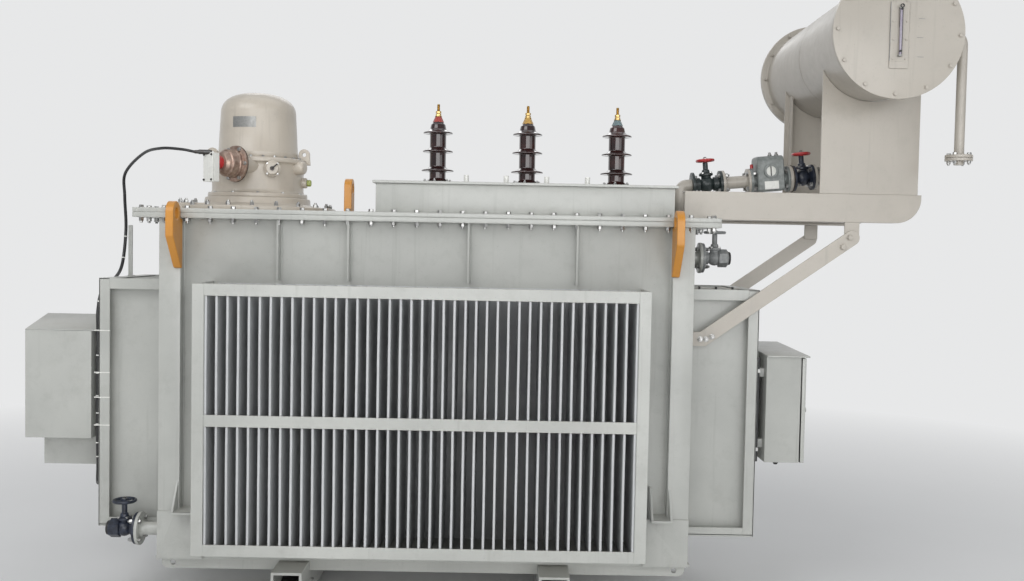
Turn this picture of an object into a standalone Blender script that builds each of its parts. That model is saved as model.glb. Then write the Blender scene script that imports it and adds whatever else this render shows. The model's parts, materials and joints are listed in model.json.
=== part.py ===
"""Power transformer with finned cooling walls, an on-load tap changer and an oil conservator.

Metres, +Z up. The viewer's side is -Y. Places are worked out from the tank: x = 0 and y = 0 are
the middle of the tank, z = 0 is the floor under the rollers. One empty then shifts the whole
assembly so that the world origin is under the middle of the overall length.
"""

import math

import bmesh
import bpy
from mathutils import Euler, Matrix, Vector

# Gap kept between pieces that touch
GAP = 0.0003

# Rollers and their carriers
ROLLER_RADIUS = 0.075
ROLLER_WIDTH = 0.11
ROLLER_STEP = 0.84
AXLE_RADIUS = 0.018
AXLE_CLEARANCE = 0.0008
AXLE_REACH = 0.018
CARRIER_SPACING = 1.165
CARRIER_LENGTH = 1.24
CARRIER_CHEEK = 0.012
CARRIER_TOP_PLATE = 0.012
CARRIER_HEIGHT = 0.168
CARRIER_FLOOR_CLEARANCE = 0.055

# Base beams under the tank
BASE_HEIGHT = 0.05
BASE_STEEL = 0.007
BASE_FLANGE = 0.05
BASE_SETBACK = 0.008
BASE_CORNER_RADIUS = 0.03
HAUL_HOLE_RADIUS = 0.012
HAUL_HOLE_INSET = 0.05

# Tank, its rim and its cover
TANK_LENGTH = 2.36
TANK_WIDTH = 0.90
TANK_HEIGHT = 1.513
FLOOR_PLATE = 0.012
FLOOR_PLATE_LEDGE = 0.018
RIM_THICKNESS = 0.022
RIM_REACH_X = 0.11
RIM_REACH_Y = 0.075
COVER_THICKNESS = 0.020
STIFFENER_PLACES = (-0.66, -0.35, 0.18, 0.66)
STIFFENER_THICKNESS = 0.010
STIFFENER_DEPTH = 0.055
STIFFENER_CLEARANCE = 0.012

# Cooling fins and the angle frame that guards them
FIN_PITCH = 0.04515
FIN_THICKNESS = 0.012
FIN_SHEET = 0.005
FIN_NOSE = 0.004
LONG_BANK_DEPTH = 0.30
END_BANK_DEPTH = 0.34
END_BANK_INSET = 0.14
GUARD_ANGLE = 0.050
GUARD_STEEL = 0.006
GUARD_BITE = 0.001
GUARD_RISE = 0.0854
GUARD_DROP = 0.2776
MIDDLE_BAR_HEIGHT = 0.050
LEDGE_THICKNESS = 0.006
LEDGE_RISE = 0.0057

# Corner posts with their jacking brackets
POST_WIDTH = 0.095
POST_DEPTH = 0.050
SKIRT_WIDTH = 0.20
SKIRT_THICKNESS = 0.012
JACK_PAD_RISE = 0.2244
JACK_PAD_THICKNESS = 0.012
JACK_PAD_WIDTH = 0.094
JACK_PAD_INSET = 0.128
JACK_PAD_REACH = 0.075
JACK_GUSSET_HEIGHT = 0.125
JACK_GUSSET_THICKNESS = 0.010

# Lifting lugs
LUG_INSET = 0.086
LUG_THICKNESS = 0.034
LUG_RISE = 0.0271
LUG_HEIGHT = 0.290
LUG_TAPER_HEIGHT = 0.142
LUG_REACH = 0.132
LUG_TIP = 0.020
LUG_RIM_CLEARANCE = 0.004
LUG_EYE_RADIUS = 0.025
LUG_EYE_DROP = 0.052

# Lug on the cover
COVER_LUG_GAP = 0.140
COVER_LUG_INSET = 0.150
COVER_LUG_WIDTH = 0.09
COVER_LUG_HEIGHT = 0.155
COVER_LUG_EYE = 0.022

# Raised turret that carries the high-voltage bushings
TURRET_LENGTH = 1.331
TURRET_WIDTH = 0.60
TURRET_INSET = 0.087
TURRET_HEIGHT = 0.130
TURRET_LID_THICKNESS = 0.012
TURRET_LID_REACH = 0.044

# Bushings
BUSHING_SPACING = 0.4225
BUSHING_SHIFT = 0.010
BUSHING_RADIUS = 0.0395
BUSHING_SHED_RADII = (0.076, 0.0715, 0.0695)
BUSHING_SHED_HEIGHTS = (0.069, 0.159, 0.246)
BUSHING_SHED_RISE = 0.016
BUSHING_FLANGE_RADIUS = 0.072
BUSHING_FLANGE_HEIGHT = 0.014
BUSHING_HEIGHT = 0.302
TERMINAL_RADIUS = 0.011
TERMINAL_NUT_RADIUS = 0.024
TERMINAL_HEIGHT = 0.078

# Tap changer
CHANGER_INSET = 0.313
CHANGER_BASE_RADIUS = 0.31
CHANGER_BASE_HEIGHT = 0.070
CHANGER_BASE_STEP = 0.245
CHANGER_HEAD_RADIUS = 0.2175
CHANGER_HEAD_HEIGHT = 0.186
CHANGER_RING_RADIUS = 0.2325
CHANGER_RING_THICKNESS = 0.022
CHANGER_DOME_RADIUS = 0.191
CHANGER_DOME_HEIGHT = 0.327
CHANGER_DOME_SHOULDER = 0.085
CHANGER_DOME_TAPER = 0.008
CHANGER_EAR_RADIUS = 0.027
CHANGER_EAR_EYE = 0.010
CHANGER_EAR_RISE = 0.056
CHANGER_EAR_THICKNESS = 0.014
CHANGER_SIDE_COVER = 0.036
FRONT_BOSS_RADIUS = 0.030
FRONT_BOSS_PLACE = 0.105
FRONT_BOSS_RISE = 0.130
RIGHT_BOSS_RADIUS = 0.030
RIGHT_BOSS_RISE = 0.092
BOSS_REACH = 0.040

# Relief valve on the tap changer's head
RELIEF_TURN = 36.0
RELIEF_HEIGHT = 0.145
RELIEF_OFFSET = 0.125
RELIEF_STUB = 0.015
RELIEF_NECK_RADIUS = 0.040
RELIEF_FLANGE_RADIUS = 0.0825
RELIEF_FLANGE_THICKNESS = 0.016
RELIEF_BELL_RADIUS = 0.062
RELIEF_BELL_LENGTH = 0.082
RELIEF_COLLAR_RADIUS = 0.030
RELIEF_COLLAR_LENGTH = 0.028
SWITCH_BOX_SIZE = (0.090, 0.052, 0.130)

# Conservator and its stand
CONSERVATOR_REACH = 0.82
CONSERVATOR_RISE = 0.6728
CONSERVATOR_FRONT = -0.63
CONSERVATOR_LENGTH = 1.25
DRUM_RADIUS = 0.250
DRUM_WALL = 0.005
END_PLATE_RADIUS = 0.2825
END_PLATE_THICKNESS = 0.014
DRUM_FLANGE_THICKNESS = 0.012
STAND_HALF_DEPTH = 0.322
LEG_WIDTH = 0.450
LEG_STEEL = 0.008
LEG_RETURN = 0.060
BEAM_SEAT = 0.132
BEAM_TAIL = 0.018
BEAM_HEIGHT = 0.129
BEAM_STEEL = 0.008
BEAM_FLANGE = 0.062
BEAM_CORNER_RADIUS = 0.085
STRUT_WIDTH = 0.068
STRUT_THICKNESS = 0.010
STRUT_FOOT_REACH = 0.076
STRUT_FOOT_DROP = 0.5482
STRUT_HEAD_SETBACK = 0.071
STRUT_HEAD_DROP = 0.0722
STRUT_PLATE = 0.010

# Oil level gauge on the front end plate
GAUGE_HEIGHT = 0.276
GAUGE_DROP = 0.010
GAUGE_WIDTH = 0.056
GAUGE_PLATE = 0.006
GAUGE_TUBE_RADIUS = 0.010
GAUGE_STAND_OFF = 0.026

# Breather pipe
BREATHER_STAND_OFF = 0.058
BREATHER_INSET = 0.080
BREATHER_RADIUS = 0.021
BREATHER_DROP = 0.552
BREATHER_FLANGE_RADIUS = 0.0575
BREATHER_FLANGE_RISE = 0.030
BREATHER_FLANGE_THICKNESS = 0.026
BREATHER_NOZZLE = 0.012

# Oil pipe between the tank and the conservator, with two valves and a gas relay
OIL_OUTLET_INSET = 0.100
OIL_PIPE_RISE = 0.17
OIL_PIPE_SLOPE = 5.0
OIL_PIPE_RADIUS = 0.030
OIL_FLANGE_RADIUS = 0.062
OIL_FLANGE_THICKNESS = 0.012
OIL_BEND = 0.070
LOW_VALVE_START = 0.055
LOW_VALVE_LENGTH = 0.146
RELAY_PIPE_LENGTH = 0.136
RELAY_LENGTH = 0.190
RELAY_WIDTH = 0.120
RELAY_HEIGHT = 0.170
RELAY_DROP = 0.055
HIGH_VALVE_GAP = 0.020
HIGH_VALVE_LENGTH = 0.100
OIL_WHEEL_RADIUS = 0.0465
OIL_WHEEL_LIFT = 0.116

# Filter valve on the right end wall and drain valve on the left end wall
FILTER_VALVE_RISE = 0.142
DRAIN_VALVE_RISE = 0.1034
DRAIN_VALVE_INSET = 0.055
SIDE_VALVE_STUB = 0.120
SIDE_VALVE_LENGTH = 0.130
SIDE_FLANGE_RADIUS = 0.073
SIDE_PIPE_RADIUS = 0.028
SIDE_WHEEL_RADIUS = 0.055
SIDE_WHEEL_LIFT = 0.125

# Valve spindles and handwheels
SPINDLE_RADIUS = 0.007
SPINDLE_CLEARANCE = 0.0006
SPINDLE_SHOULDER = 0.012
WHEEL_RIM_RADIUS = 0.007
WHEEL_HUB_RADIUS = 0.014
WHEEL_HUB_HEIGHT = 0.018
WHEEL_SPOKES = 4
WHEEL_NUT_HEIGHT = 0.008

# Motor-drive cabinet on the left end
CABINET_STAND_OFF = 0.040
CABINET_LENGTH = 0.305
CABINET_FRONT = -0.29
CABINET_DEPTH = 0.22
CABINET_RISE = 0.4894
CABINET_HEIGHT = 0.503
CABINET_ROOF_REACH = 0.018
CABINET_ROOF_RISE = 0.050
CABINET_ROOF_THICKNESS = 0.006
CABINET_RAIL = 0.004
GLAND_BOX_HEIGHT = 0.145
GLAND_BOX_DEPTH = 0.10
GLAND_BOX_INSET = 0.035

# Marshalling box on the right end
BOX_DEPTH_X = 0.160
BOX_FRONT = -0.31
BOX_LENGTH_Y = 0.56
BOX_RISE = 0.4384
BOX_HEIGHT = 0.491
BOX_WALL = 0.004
BOX_LIP = 0.018
BOX_ROOF_REACH = 0.026
BOX_ROOF_RISE = 0.016
DOOR_CLEARANCE = 0.006
DOOR_THICKNESS = 0.018
DOOR_SHEET = 0.002
HINGE_KNUCKLE_RADIUS = 0.009
HINGE_KNUCKLE_HEIGHT = 0.040
HINGE_PIN_RADIUS = 0.004
HINGE_PIN_CLEARANCE = 0.0007
HINGE_INSET = 0.070
BRACKET_HEIGHT = 0.040
BRACKET_INSET = 0.06

# Control cable from the relief valve's switch box to the cabinet
CABLE_RADIUS = 0.008
CABLE_DROP = 0.075
CABLE_CLEARANCE = 0.0008
CABLE_FALL_Y = 0.070
CABLE_FALL_RISE = 0.249

# Heights and faces that follow from the sizes above
CARRIER_TOP = CARRIER_FLOOR_CLEARANCE + CARRIER_HEIGHT
BASE_BOTTOM = CARRIER_TOP + GAP + BASE_STEEL - BASE_HEIGHT
TANK_BOTTOM = BASE_BOTTOM + BASE_HEIGHT + GAP
WALL_BOTTOM = TANK_BOTTOM + FLOOR_PLATE
WALL_TOP = WALL_BOTTOM + TANK_HEIGHT
COVER_BOTTOM = WALL_TOP + RIM_THICKNESS + GAP
COVER_TOP = COVER_BOTTOM + COVER_THICKNESS
HALF_LENGTH = TANK_LENGTH / 2
HALF_WIDTH = TANK_WIDTH / 2
RIM_X = HALF_LENGTH + RIM_REACH_X
RIM_Y = HALF_WIDTH + RIM_REACH_Y
END_BANK_FACE = HALF_LENGTH + END_BANK_DEPTH
BANK_MARGIN = GUARD_ANGLE + FIN_THICKNESS / 2
LONG_BANK_FINS = 1 + int(2 * (HALF_LENGTH - SKIRT_WIDTH - BANK_MARGIN) / FIN_PITCH)
END_BANK_FINS = 1 + int(2 * (HALF_WIDTH - END_BANK_INSET - BANK_MARGIN) / FIN_PITCH)
END_BANK_HALF = (END_BANK_FINS - 1) * FIN_PITCH / 2 + BANK_MARGIN
TURRET_TOP = COVER_TOP + GAP + TURRET_HEIGHT
TURRET_LID_TOP = TURRET_TOP + GAP + TURRET_LID_THICKNESS
TURRET_FRONT = -HALF_WIDTH
TURRET_BACK = TURRET_FRONT + TURRET_WIDTH
TURRET_RIGHT = HALF_LENGTH - TURRET_INSET
TURRET_LEFT = TURRET_RIGHT - TURRET_LENGTH
TURRET_X = (TURRET_LEFT + TURRET_RIGHT) / 2
TURRET_Y = (TURRET_FRONT + TURRET_BACK) / 2
GUARD_BOTTOM = WALL_BOTTOM + GUARD_RISE
GUARD_TOP = WALL_TOP - GUARD_DROP
FIN_BOTTOM = GUARD_BOTTOM + LEDGE_RISE + LEDGE_THICKNESS + GAP
MIDDLE_BAR_BOTTOM = (GUARD_BOTTOM + GUARD_TOP - MIDDLE_BAR_HEIGHT) / 2
JACK_PAD_HEIGHT = WALL_BOTTOM + JACK_PAD_RISE
JACK_PAD_MIDDLE = HALF_LENGTH - JACK_PAD_INSET
LUG_MIDDLE = HALF_LENGTH - LUG_INSET
LUG_TOP = COVER_TOP + LUG_RISE
LUG_BOTTOM = LUG_TOP - LUG_HEIGHT
LUG_SHOULDER = LUG_BOTTOM + LUG_TAPER_HEIGHT
COVER_LUG_PLACE = (TURRET_LEFT - COVER_LUG_GAP, COVER_LUG_INSET - HALF_WIDTH)
CHANGER_X = CHANGER_INSET - HALF_LENGTH
CHANGER_HEAD_BOTTOM = COVER_TOP + GAP + CHANGER_BASE_HEIGHT + GAP
CHANGER_DOME_BOTTOM = CHANGER_HEAD_BOTTOM + CHANGER_HEAD_HEIGHT + GAP
BEAM_BOTTOM = COVER_TOP + GAP
BEAM_TOP = BEAM_BOTTOM + BEAM_HEIGHT
CONSERVATOR_X = HALF_LENGTH + CONSERVATOR_REACH
CONSERVATOR_Z = BEAM_TOP + CONSERVATOR_RISE
BEAM_LEFT = RIM_X - BEAM_SEAT
BEAM_RIGHT = CONSERVATOR_X + LEG_WIDTH / 2 + BEAM_TAIL
STRUT_LOW = (HALF_LENGTH + STRUT_FOOT_REACH, BEAM_BOTTOM - STRUT_FOOT_DROP)
STRUT_HIGH = (CONSERVATOR_X - STRUT_HEAD_SETBACK, BEAM_BOTTOM - STRUT_HEAD_DROP)
GAUGE_TOP = CONSERVATOR_Z + GAUGE_HEIGHT / 2 - GAUGE_DROP
GAUGE_BOTTOM = GAUGE_TOP - GAUGE_HEIGHT
BREATHER_X = CONSERVATOR_X + DRUM_RADIUS + BREATHER_STAND_OFF
BREATHER_Y = CONSERVATOR_FRONT + BREATHER_INSET
BREATHER_BOTTOM = CONSERVATOR_Z - BREATHER_DROP
BREATHER_FLANGE_HEIGHT = BREATHER_BOTTOM + BREATHER_FLANGE_RISE
OIL_OUTLET_X = RIM_X - OIL_OUTLET_INSET
FILTER_VALVE_Z = GUARD_TOP + FILTER_VALVE_RISE
DRAIN_VALVE_Z = WALL_BOTTOM + DRAIN_VALVE_RISE
DRAIN_VALVE_Y = DRAIN_VALVE_INSET - HALF_WIDTH
CABINET_RIGHT = -END_BANK_FACE - CABINET_STAND_OFF
CABINET_LEFT = CABINET_RIGHT - CABINET_LENGTH
CABINET_BOTTOM = WALL_BOTTOM + CABINET_RISE
CABINET_TOP = CABINET_BOTTOM + CABINET_HEIGHT
BOX_LEFT = END_BANK_FACE + CABINET_STAND_OFF
BOX_RIGHT = BOX_LEFT + BOX_DEPTH_X
BOX_BOTTOM = WALL_BOTTOM + BOX_RISE
BOX_TOP = BOX_BOTTOM + BOX_HEIGHT
DOOR_LEFT = BOX_RIGHT + DOOR_CLEARANCE
OVERALL_LEFT = CABINET_LEFT - CABINET_ROOF_REACH
OVERALL_RIGHT = BREATHER_X + BREATHER_FLANGE_RADIUS
OVERALL_MIDDLE = (OVERALL_LEFT + OVERALL_RIGHT) / 2

# Saddle of the conservator's legs, drawn with straight steps that stay outside the drum
SADDLE_STEPS = 24
SADDLE_RADIUS = (DRUM_RADIUS + GAP) / math.cos(math.pi / 2 / SADDLE_STEPS)

# Roundness of turned pieces
FINE_SIDES = 24
ROUND_SIDES = 14
SMALL_SIDES = 8


# Scene, collections and materials

def clear_scene():
    """Remove every object and leave two collections: the model, and the shapes that cut or join it."""
    for item in list(bpy.data.objects):
        bpy.data.objects.remove(item, do_unlink=True)
    made = []
    for name in ("power_transformer", "joining_and_cutting_shapes"):
        collection = bpy.data.collections.new(name)
        bpy.context.scene.collection.children.link(collection)
        made.append(collection)
    return made


MODEL, TOOLS = clear_scene()
ORIGIN = bpy.data.objects.new("transformer_origin", None)
MODEL.objects.link(ORIGIN)
ORIGIN.location = (-OVERALL_MIDDLE, 0.0, 0.0)


def material(name, colour, roughness, metallic=0.0):
    made = bpy.data.materials.new(name)
    made.use_nodes = True
    shader = made.node_tree.nodes["Principled BSDF"]
    shader.inputs["Base Color"].default_value = (*colour, 1.0)
    shader.inputs["Roughness"].default_value = roughness
    shader.inputs["Metallic"].default_value = metallic
    return made


GREY_PAINT = material("light_grey_paint", (0.47, 0.48, 0.46), 0.42)
CREAM_PAINT = material("warm_grey_paint", (0.55, 0.51, 0.44), 0.38)
LUG_PAINT = material("orange_yellow_paint", (0.66, 0.30, 0.06), 0.45)
PORCELAIN = material("brown_glazed_porcelain", (0.045, 0.016, 0.012), 0.12)
BRASS = material("brass", (0.60, 0.42, 0.16), 0.30, 1.0)
DARK_PAINT = material("dark_blue_paint", (0.020, 0.026, 0.045), 0.40)
RED_PAINT = material("red_paint", (0.45, 0.015, 0.02), 0.40)
RELAY_PAINT = material("relay_grey_paint", (0.20, 0.22, 0.21), 0.45)
CAST_METAL = material("bare_cast_metal", (0.42, 0.33, 0.28), 0.40, 0.7)
DARK_STEEL = material("dark_steel", (0.09, 0.09, 0.09), 0.45, 0.9)
BLACK_PLASTIC = material("black_conduit", (0.015, 0.015, 0.016), 0.50)
GAUGE_WHITE = material("white_enamel", (0.70, 0.70, 0.66), 0.30)


# Ways of making a piece

def new_object(name, mesh, paint, at=(0.0, 0.0, 0.0), turn=(0.0, 0.0, 0.0), home=None):
    made = bpy.data.objects.new(name, mesh)
    (home or MODEL).objects.link(made)
    made.parent = ORIGIN
    made.location = at
    made.rotation_euler = turn
    if paint is not None:
        mesh.materials.append(paint)
    return made


def add_block(bm, x, y, z):
    """A box between a low and a high value along each axis."""
    size = Vector((abs(x[1] - x[0]), abs(y[1] - y[0]), abs(z[1] - z[0])))
    middle = Vector((x[0] + x[1], y[0] + y[1], z[0] + z[1])) / 2
    bmesh.ops.create_cube(bm, size=1.0, matrix=Matrix.Translation(middle) @ Matrix.Diagonal((*size, 1.0)))


def add_rod(bm, start, end, radius, sides=ROUND_SIDES, end_radius=None):
    """A round bar, or a cone, from one point to another."""
    start, end = Vector(start), Vector(end)
    along = end - start
    turn = along.to_track_quat("Z", "Y").to_matrix().to_4x4()
    bmesh.ops.create_cone(bm, cap_ends=True, segments=sides, radius1=radius,
                          radius2=radius if end_radius is None else end_radius,
                          depth=along.length, matrix=Matrix.Translation((start + end) / 2) @ turn)


def shape(name, paint, build, at=(0.0, 0.0, 0.0), turn=(0.0, 0.0, 0.0), home=None):
    """An object whose mesh is filled by a function that adds primitives to a bmesh."""
    bm = bmesh.new()
    build(bm)
    mesh = bpy.data.meshes.new(name)
    bm.to_mesh(mesh)
    bm.free()
    return new_object(name, mesh, paint, at, turn, home)


def tool(name, build, at=(0.0, 0.0, 0.0), turn=(0.0, 0.0, 0.0)):
    """A shape that joins or cuts a piece and isn't part of the model itself."""
    made = shape(name, None, build, at, turn, TOOLS)
    hide_tool(made)
    return made


def hide_tool(made):
    made.hide_render = True
    made.display_type = "WIRE"


def combine(target, other, operation):
    modifier = target.modifiers.new(other.name, "BOOLEAN")
    modifier.operation = operation
    modifier.solver = "EXACT"
    modifier.object = other
    return target


def join(target, *others):
    for other in others:
        combine(target, other, "UNION")
    return target


def cut(target, *others):
    for other in others:
        combine(target, other, "DIFFERENCE")
    return target


def outline_mesh(name, outlines, thickness):
    """Flat closed outlines, the first with the rest as holes, given a thickness about their plane."""
    curve = bpy.data.curves.new(name, "CURVE")
    curve.dimensions = "2D"
    curve.fill_mode = "BOTH"
    curve.extrude = thickness / 2
    for points in outlines:
        spline = curve.splines.new("POLY")
        spline.points.add(len(points) - 1)
        for point, (u, v) in zip(spline.points, points):
            point.co = (u, v, 0.0, 1.0)
        spline.use_cyclic_u = True
    drawn = bpy.data.objects.new(name + "_outline", curve)
    bpy.context.scene.collection.objects.link(drawn)
    graph = bpy.context.evaluated_depsgraph_get()
    mesh = bpy.data.meshes.new_from_object(drawn.evaluated_get(graph))
    bpy.data.objects.remove(drawn, do_unlink=True)
    bm = bmesh.new()
    bm.from_mesh(mesh)
    bmesh.ops.remove_doubles(bm, verts=bm.verts, dist=0.00001)
    bmesh.ops.recalc_face_normals(bm, faces=bm.faces)
    bm.to_mesh(mesh)
    bm.free()
    return mesh


# How an outline's own axes stand in the part: XY lies flat, XZ faces the viewer, YZ faces the side
FLAT = (0.0, 0.0, 0.0)
FACING_FRONT = (math.radians(90), 0.0, 0.0)
FACING_SIDE = (math.radians(90), 0.0, math.radians(90))


def plate(name, paint, outlines, thickness, at, turn=FLAT, home=None):
    made = new_object(name, outline_mesh(name, outlines, thickness), paint, at, turn, home)
    if home is TOOLS:
        hide_tool(made)
    return made


def turned(name, paint, profile, at, turn=FLAT, sides=ROUND_SIDES, home=None):
    """A profile of (radius, height) points, from the top down its outer side, turned about local Z."""
    mesh = bpy.data.meshes.new(name)
    mesh.from_pydata([(r, 0.0, h) for r, h in profile], [(i, i + 1) for i in range(len(profile) - 1)], [])
    made = new_object(name, mesh, paint, at, turn, home)
    spin = made.modifiers.new("turn", "SCREW")
    spin.steps = sides
    spin.render_steps = sides
    spin.use_merge_vertices = True
    spin.merge_threshold = 0.00005
    spin.use_smooth_shade = False
    if home is TOOLS:
        hide_tool(made)
    return made


def arc(centre, radius, start, end, steps):
    """Points on an arc, angles in degrees, both ends included."""
    angles = [math.radians(start + (end - start) * i / steps) for i in range(steps + 1)]
    return [(centre[0] + radius * math.cos(a), centre[1] + radius * math.sin(a)) for a in angles]


def rounded_bend(points, radius, steps=6):
    """A polyline in space whose inner corners are replaced by arcs of the given radius."""
    points = [Vector(p) for p in points]
    route = [points[0]]
    for before, corner, after in zip(points, points[1:], points[2:]):
        back = (before - corner).normalized()
        ahead = (after - corner).normalized()
        half_angle = back.angle(ahead) / 2
        set_back = radius / math.tan(half_angle)
        centre = corner + (back + ahead).normalized() * (radius / math.sin(half_angle))
        first = corner + back * set_back - centre
        last = corner + ahead * set_back - centre
        sweep = first.angle(last)
        for i in range(steps + 1):
            share = i / steps
            mix = (first * math.sin((1 - share) * sweep) + last * math.sin(share * sweep)) / math.sin(sweep)
            route.append(centre + mix)
    route.append(points[-1])
    return route


def tube(name, paint, route, radius, home=None, resolution=4):
    """A round bar along a route, as a mesh with welded caps."""
    curve = bpy.data.curves.new(name, "CURVE")
    curve.dimensions = "3D"
    curve.bevel_depth = radius
    curve.bevel_resolution = resolution
    curve.use_fill_caps = True
    spline = curve.splines.new("POLY")
    spline.points.add(len(route) - 1)
    for point, place in zip(spline.points, route):
        point.co = (*place, 1.0)
    drawn = bpy.data.objects.new(name + "_route", curve)
    bpy.context.scene.collection.objects.link(drawn)
    graph = bpy.context.evaluated_depsgraph_get()
    mesh = bpy.data.meshes.new_from_object(drawn.evaluated_get(graph))
    bpy.data.objects.remove(drawn, do_unlink=True)
    bm = bmesh.new()
    bm.from_mesh(mesh)
    bmesh.ops.remove_doubles(bm, verts=bm.verts, dist=0.00001)
    bmesh.ops.recalc_face_normals(bm, faces=bm.faces)
    bm.to_mesh(mesh)
    bm.free()
    made = new_object(name, mesh, paint, home=home)
    if home is TOOLS:
        hide_tool(made)
    return made


# Rollers and base

def roller_carrier(side, x):
    """An inverted channel across the tank whose cheeks hold the roller axles."""
    outer = ROLLER_WIDTH / 2 + GAP + CARRIER_CHEEK
    inner = ROLLER_WIDTH / 2 + GAP
    low, high = CARRIER_FLOOR_CLEARANCE, CARRIER_TOP
    under = high - CARRIER_TOP_PLATE
    section = [(-outer, low), (-inner, low), (-inner, under), (inner, under),
               (inner, low), (outer, low), (outer, high), (-outer, high)]
    channel = plate(f"roller_carrier_{side}", GREY_PAINT, [section], CARRIER_LENGTH, (x, 0.0, 0.0),
                    FACING_FRONT)

    def axle_holes(bm):
        for y in (-ROLLER_STEP / 2, ROLLER_STEP / 2):
            reach = outer + AXLE_REACH
            add_rod(bm, (-reach, y, ROLLER_RADIUS), (reach, y, ROLLER_RADIUS), AXLE_RADIUS + AXLE_CLEARANCE)

    cut(channel, tool(f"axle_holes_{side}", axle_holes, (x, 0.0, 0.0)))


def roller(name, x, y):
    """A flat-treaded roller in one piece with its axle, turned about X."""
    half = ROLLER_WIDTH / 2
    end = half + GAP + CARRIER_CHEEK + AXLE_REACH
    chamfer = 0.004
    profile = [(0.0, end), (AXLE_RADIUS, end), (AXLE_RADIUS, half), (ROLLER_RADIUS - chamfer, half),
               (ROLLER_RADIUS, half - chamfer), (ROLLER_RADIUS, chamfer - half),
               (ROLLER_RADIUS - chamfer, -half), (AXLE_RADIUS, -half), (AXLE_RADIUS, -end), (0.0, -end)]
    turned(name, DARK_STEEL, profile, (x, y, ROLLER_RADIUS), (0.0, math.radians(90), 0.0))


def base_beam(side, direction):
    """A channel under the long wall, web outwards, notched over the roller carriers.

    Near each rounded end its web has a hauling hole.
    """
    face = direction * (HALF_WIDTH - BASE_SETBACK)
    length = TANK_LENGTH / 2
    r = BASE_CORNER_RADIUS
    bottom, top = BASE_BOTTOM, BASE_BOTTOM + BASE_HEIGHT
    web_outline = ([(-length, top), (-length, bottom + r)]
                   + arc((-length + r, bottom + r), r, 180, 270, 5)[1:]
                   + arc((length - r, bottom + r), r, 270, 360, 5) + [(length, top)])
    holes = [arc((x, (bottom + top) / 2), HAUL_HOLE_RADIUS, 0, 360 - 30, 11)
             for x in (-length + HAUL_HOLE_INSET, length - HAUL_HOLE_INSET)]
    web_middle = face - direction * BASE_STEEL / 2
    web = plate(f"base_beam_{side}", GREY_PAINT, [web_outline, *holes], BASE_STEEL,
                (0.0, web_middle, 0.0), FACING_FRONT)
    inside = face - direction * BASE_FLANGE
    y = sorted((face - direction * BASE_STEEL / 2, inside))

    def flanges(bm):
        add_block(bm, (-length, length), y, (top - BASE_STEEL, top))
        add_block(bm, (-length + r, length - r), y, (bottom, bottom + BASE_STEEL))

    def carrier_notches(bm):
        reach = ROLLER_WIDTH / 2 + GAP + CARRIER_CHEEK + GAP
        for x in (-CARRIER_SPACING / 2, CARRIER_SPACING / 2):
            add_block(bm, (x - reach, x + reach), (face - 2 * BASE_FLANGE, face + 2 * BASE_FLANGE),
                      (bottom - BASE_STEEL, top - BASE_STEEL))

    join(web, tool(f"base_flanges_{side}", flanges))
    cut(web, tool(f"carrier_notches_{side}", carrier_notches))


# Tank, cover and corner posts

def tank():
    """A closed steel box with its floor plate, rim and the wall stiffeners above the fins."""
    floor_x, floor_y = HALF_LENGTH + FLOOR_PLATE_LEDGE, HALF_WIDTH + FLOOR_PLATE_LEDGE
    bite = 0.001
    body = shape("tank", GREY_PAINT, lambda bm: add_block(
        bm, (-HALF_LENGTH, HALF_LENGTH), (-HALF_WIDTH, HALF_WIDTH), (WALL_BOTTOM - bite, WALL_TOP + bite)))

    def plates(bm):
        add_block(bm, (-floor_x, floor_x), (-floor_y, floor_y), (TANK_BOTTOM, WALL_BOTTOM))
        add_block(bm, (-RIM_X, RIM_X), (-RIM_Y, RIM_Y), (WALL_TOP, WALL_TOP + RIM_THICKNESS))

    def stiffeners(bm):
        for x in STIFFENER_PLACES:
            for direction in (-1, 1):
                y = sorted((direction * (HALF_WIDTH - bite), direction * (HALF_WIDTH + STIFFENER_DEPTH)))
                add_block(bm, (x - STIFFENER_THICKNESS / 2, x + STIFFENER_THICKNESS / 2), y,
                          (GUARD_TOP + STIFFENER_CLEARANCE, WALL_TOP + bite))

    join(body, tool("floor_and_rim", plates), tool("wall_stiffeners", stiffeners))


def cover():
    """The bolted cover plate over the rim."""
    plate_piece = shape("cover", GREY_PAINT, lambda bm: add_block(
        bm, (-RIM_X, RIM_X), (-RIM_Y, RIM_Y), (COVER_BOTTOM, COVER_TOP)))
    edge = plate_piece.modifiers.new("eased_edges", "BEVEL")
    edge.width = 0.002
    edge.segments = 1


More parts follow.
